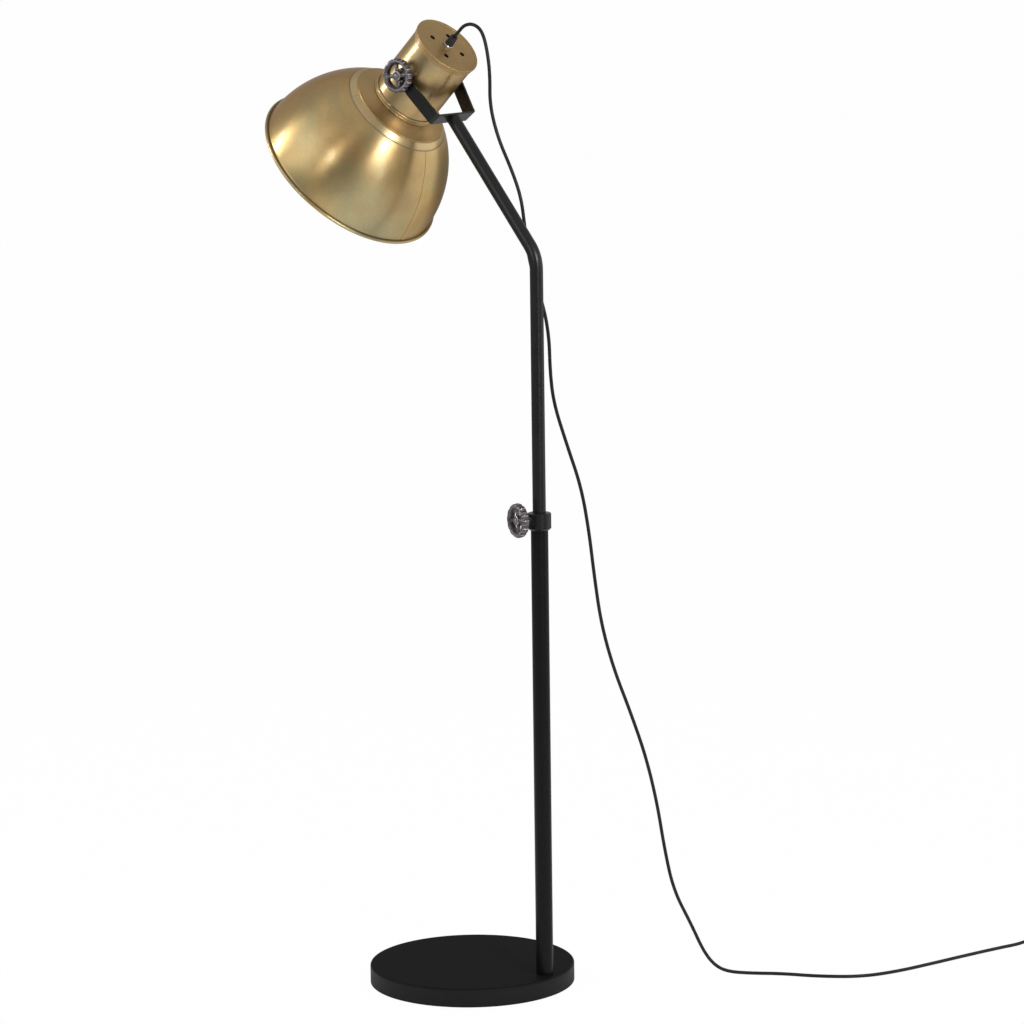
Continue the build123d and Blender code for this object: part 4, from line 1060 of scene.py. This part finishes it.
shade_dome = spun(
    "shade_dome", profile, shade_turns, shade_brass, shade_push,
    [("joint_dirt_and_fold_shade", lampshade_joints_and_fold_shade), ("patina_and_top_shade", lampshade_patina_and_top_shade), ("painted_highlight", ring_painted_highlight)],
)
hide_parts("shade_crown", "shade_near", "shade_far", "shade_rim")


# Bulb and holder
# A frosted bulb in a dark moulded holder, seen only from below.
frosted, shader = satin_material(
    "frosted_glass", dark=(0.86, 0.85, 0.82), light=(0.93, 0.92, 0.90),
    cloud_scale=30, peel_scale=1800, roughness=(0.25, 0.35), depth=0.00003,
)
shader.inputs["Subsurface Weight"].default_value = 0.3
shader.inputs["Coat Weight"].default_value = 0.5
dress("bulb_glass", frosted)
rolled, shader = satin_material(
    "rolled_metal", dark=(0.55, 0.55, 0.54), light=(0.70, 0.70, 0.69),
    cloud_scale=200, peel_scale=3000, roughness=(0.22, 0.34), depth=0.00003,
)
shader.inputs["Metallic"].default_value = 1
dress("bulb_cap", rolled)
black_plastic, _ = satin_material(
    "black_plastic", dark=(0.010, 0.010, 0.0105), light=(0.018, 0.018, 0.018),
    cloud_scale=45, peel_scale=2600, roughness=(0.42, 0.55), depth=0.00008,
)
for node in ("lamp_holder", "coil_tie", "switch_body", "switch_rocker", "plug_body"):
    dress(node, black_plastic)


# Cord grip
# A soft tapered sleeve on the cord inlet, ribbed so that it bends with the cord.
grip_foot, grip_end = 0.0613, 0.0762
grip_bore = 0.0026
rib_first, rib_pitch, rib_depth = 0.0655, 0.0026, 0.0004
rib_from, rib_to = 0.0645, 0.0745
grip_way = np.linspace(grip_foot, grip_end, 80)
grip_radius = np.interp(grip_way, [grip_foot, grip_end], [0.0063, 0.00525])
rib = np.clip(np.cos((grip_way - rib_first) / rib_pitch * 2 * math.pi), 0, 1)
rib *= (grip_way > rib_from) & (grip_way < rib_to)
grip_radius = grip_radius - rib_depth * rib
grip_profile = list(zip(grip_radius, -grip_way))
grip_profile += [(grip_bore, -grip_end), (grip_bore, -grip_foot)]
grip_sleeve = spun("grip_sleeve", grip_profile, even_turns[::4], black_plastic)
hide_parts("cord_grip")
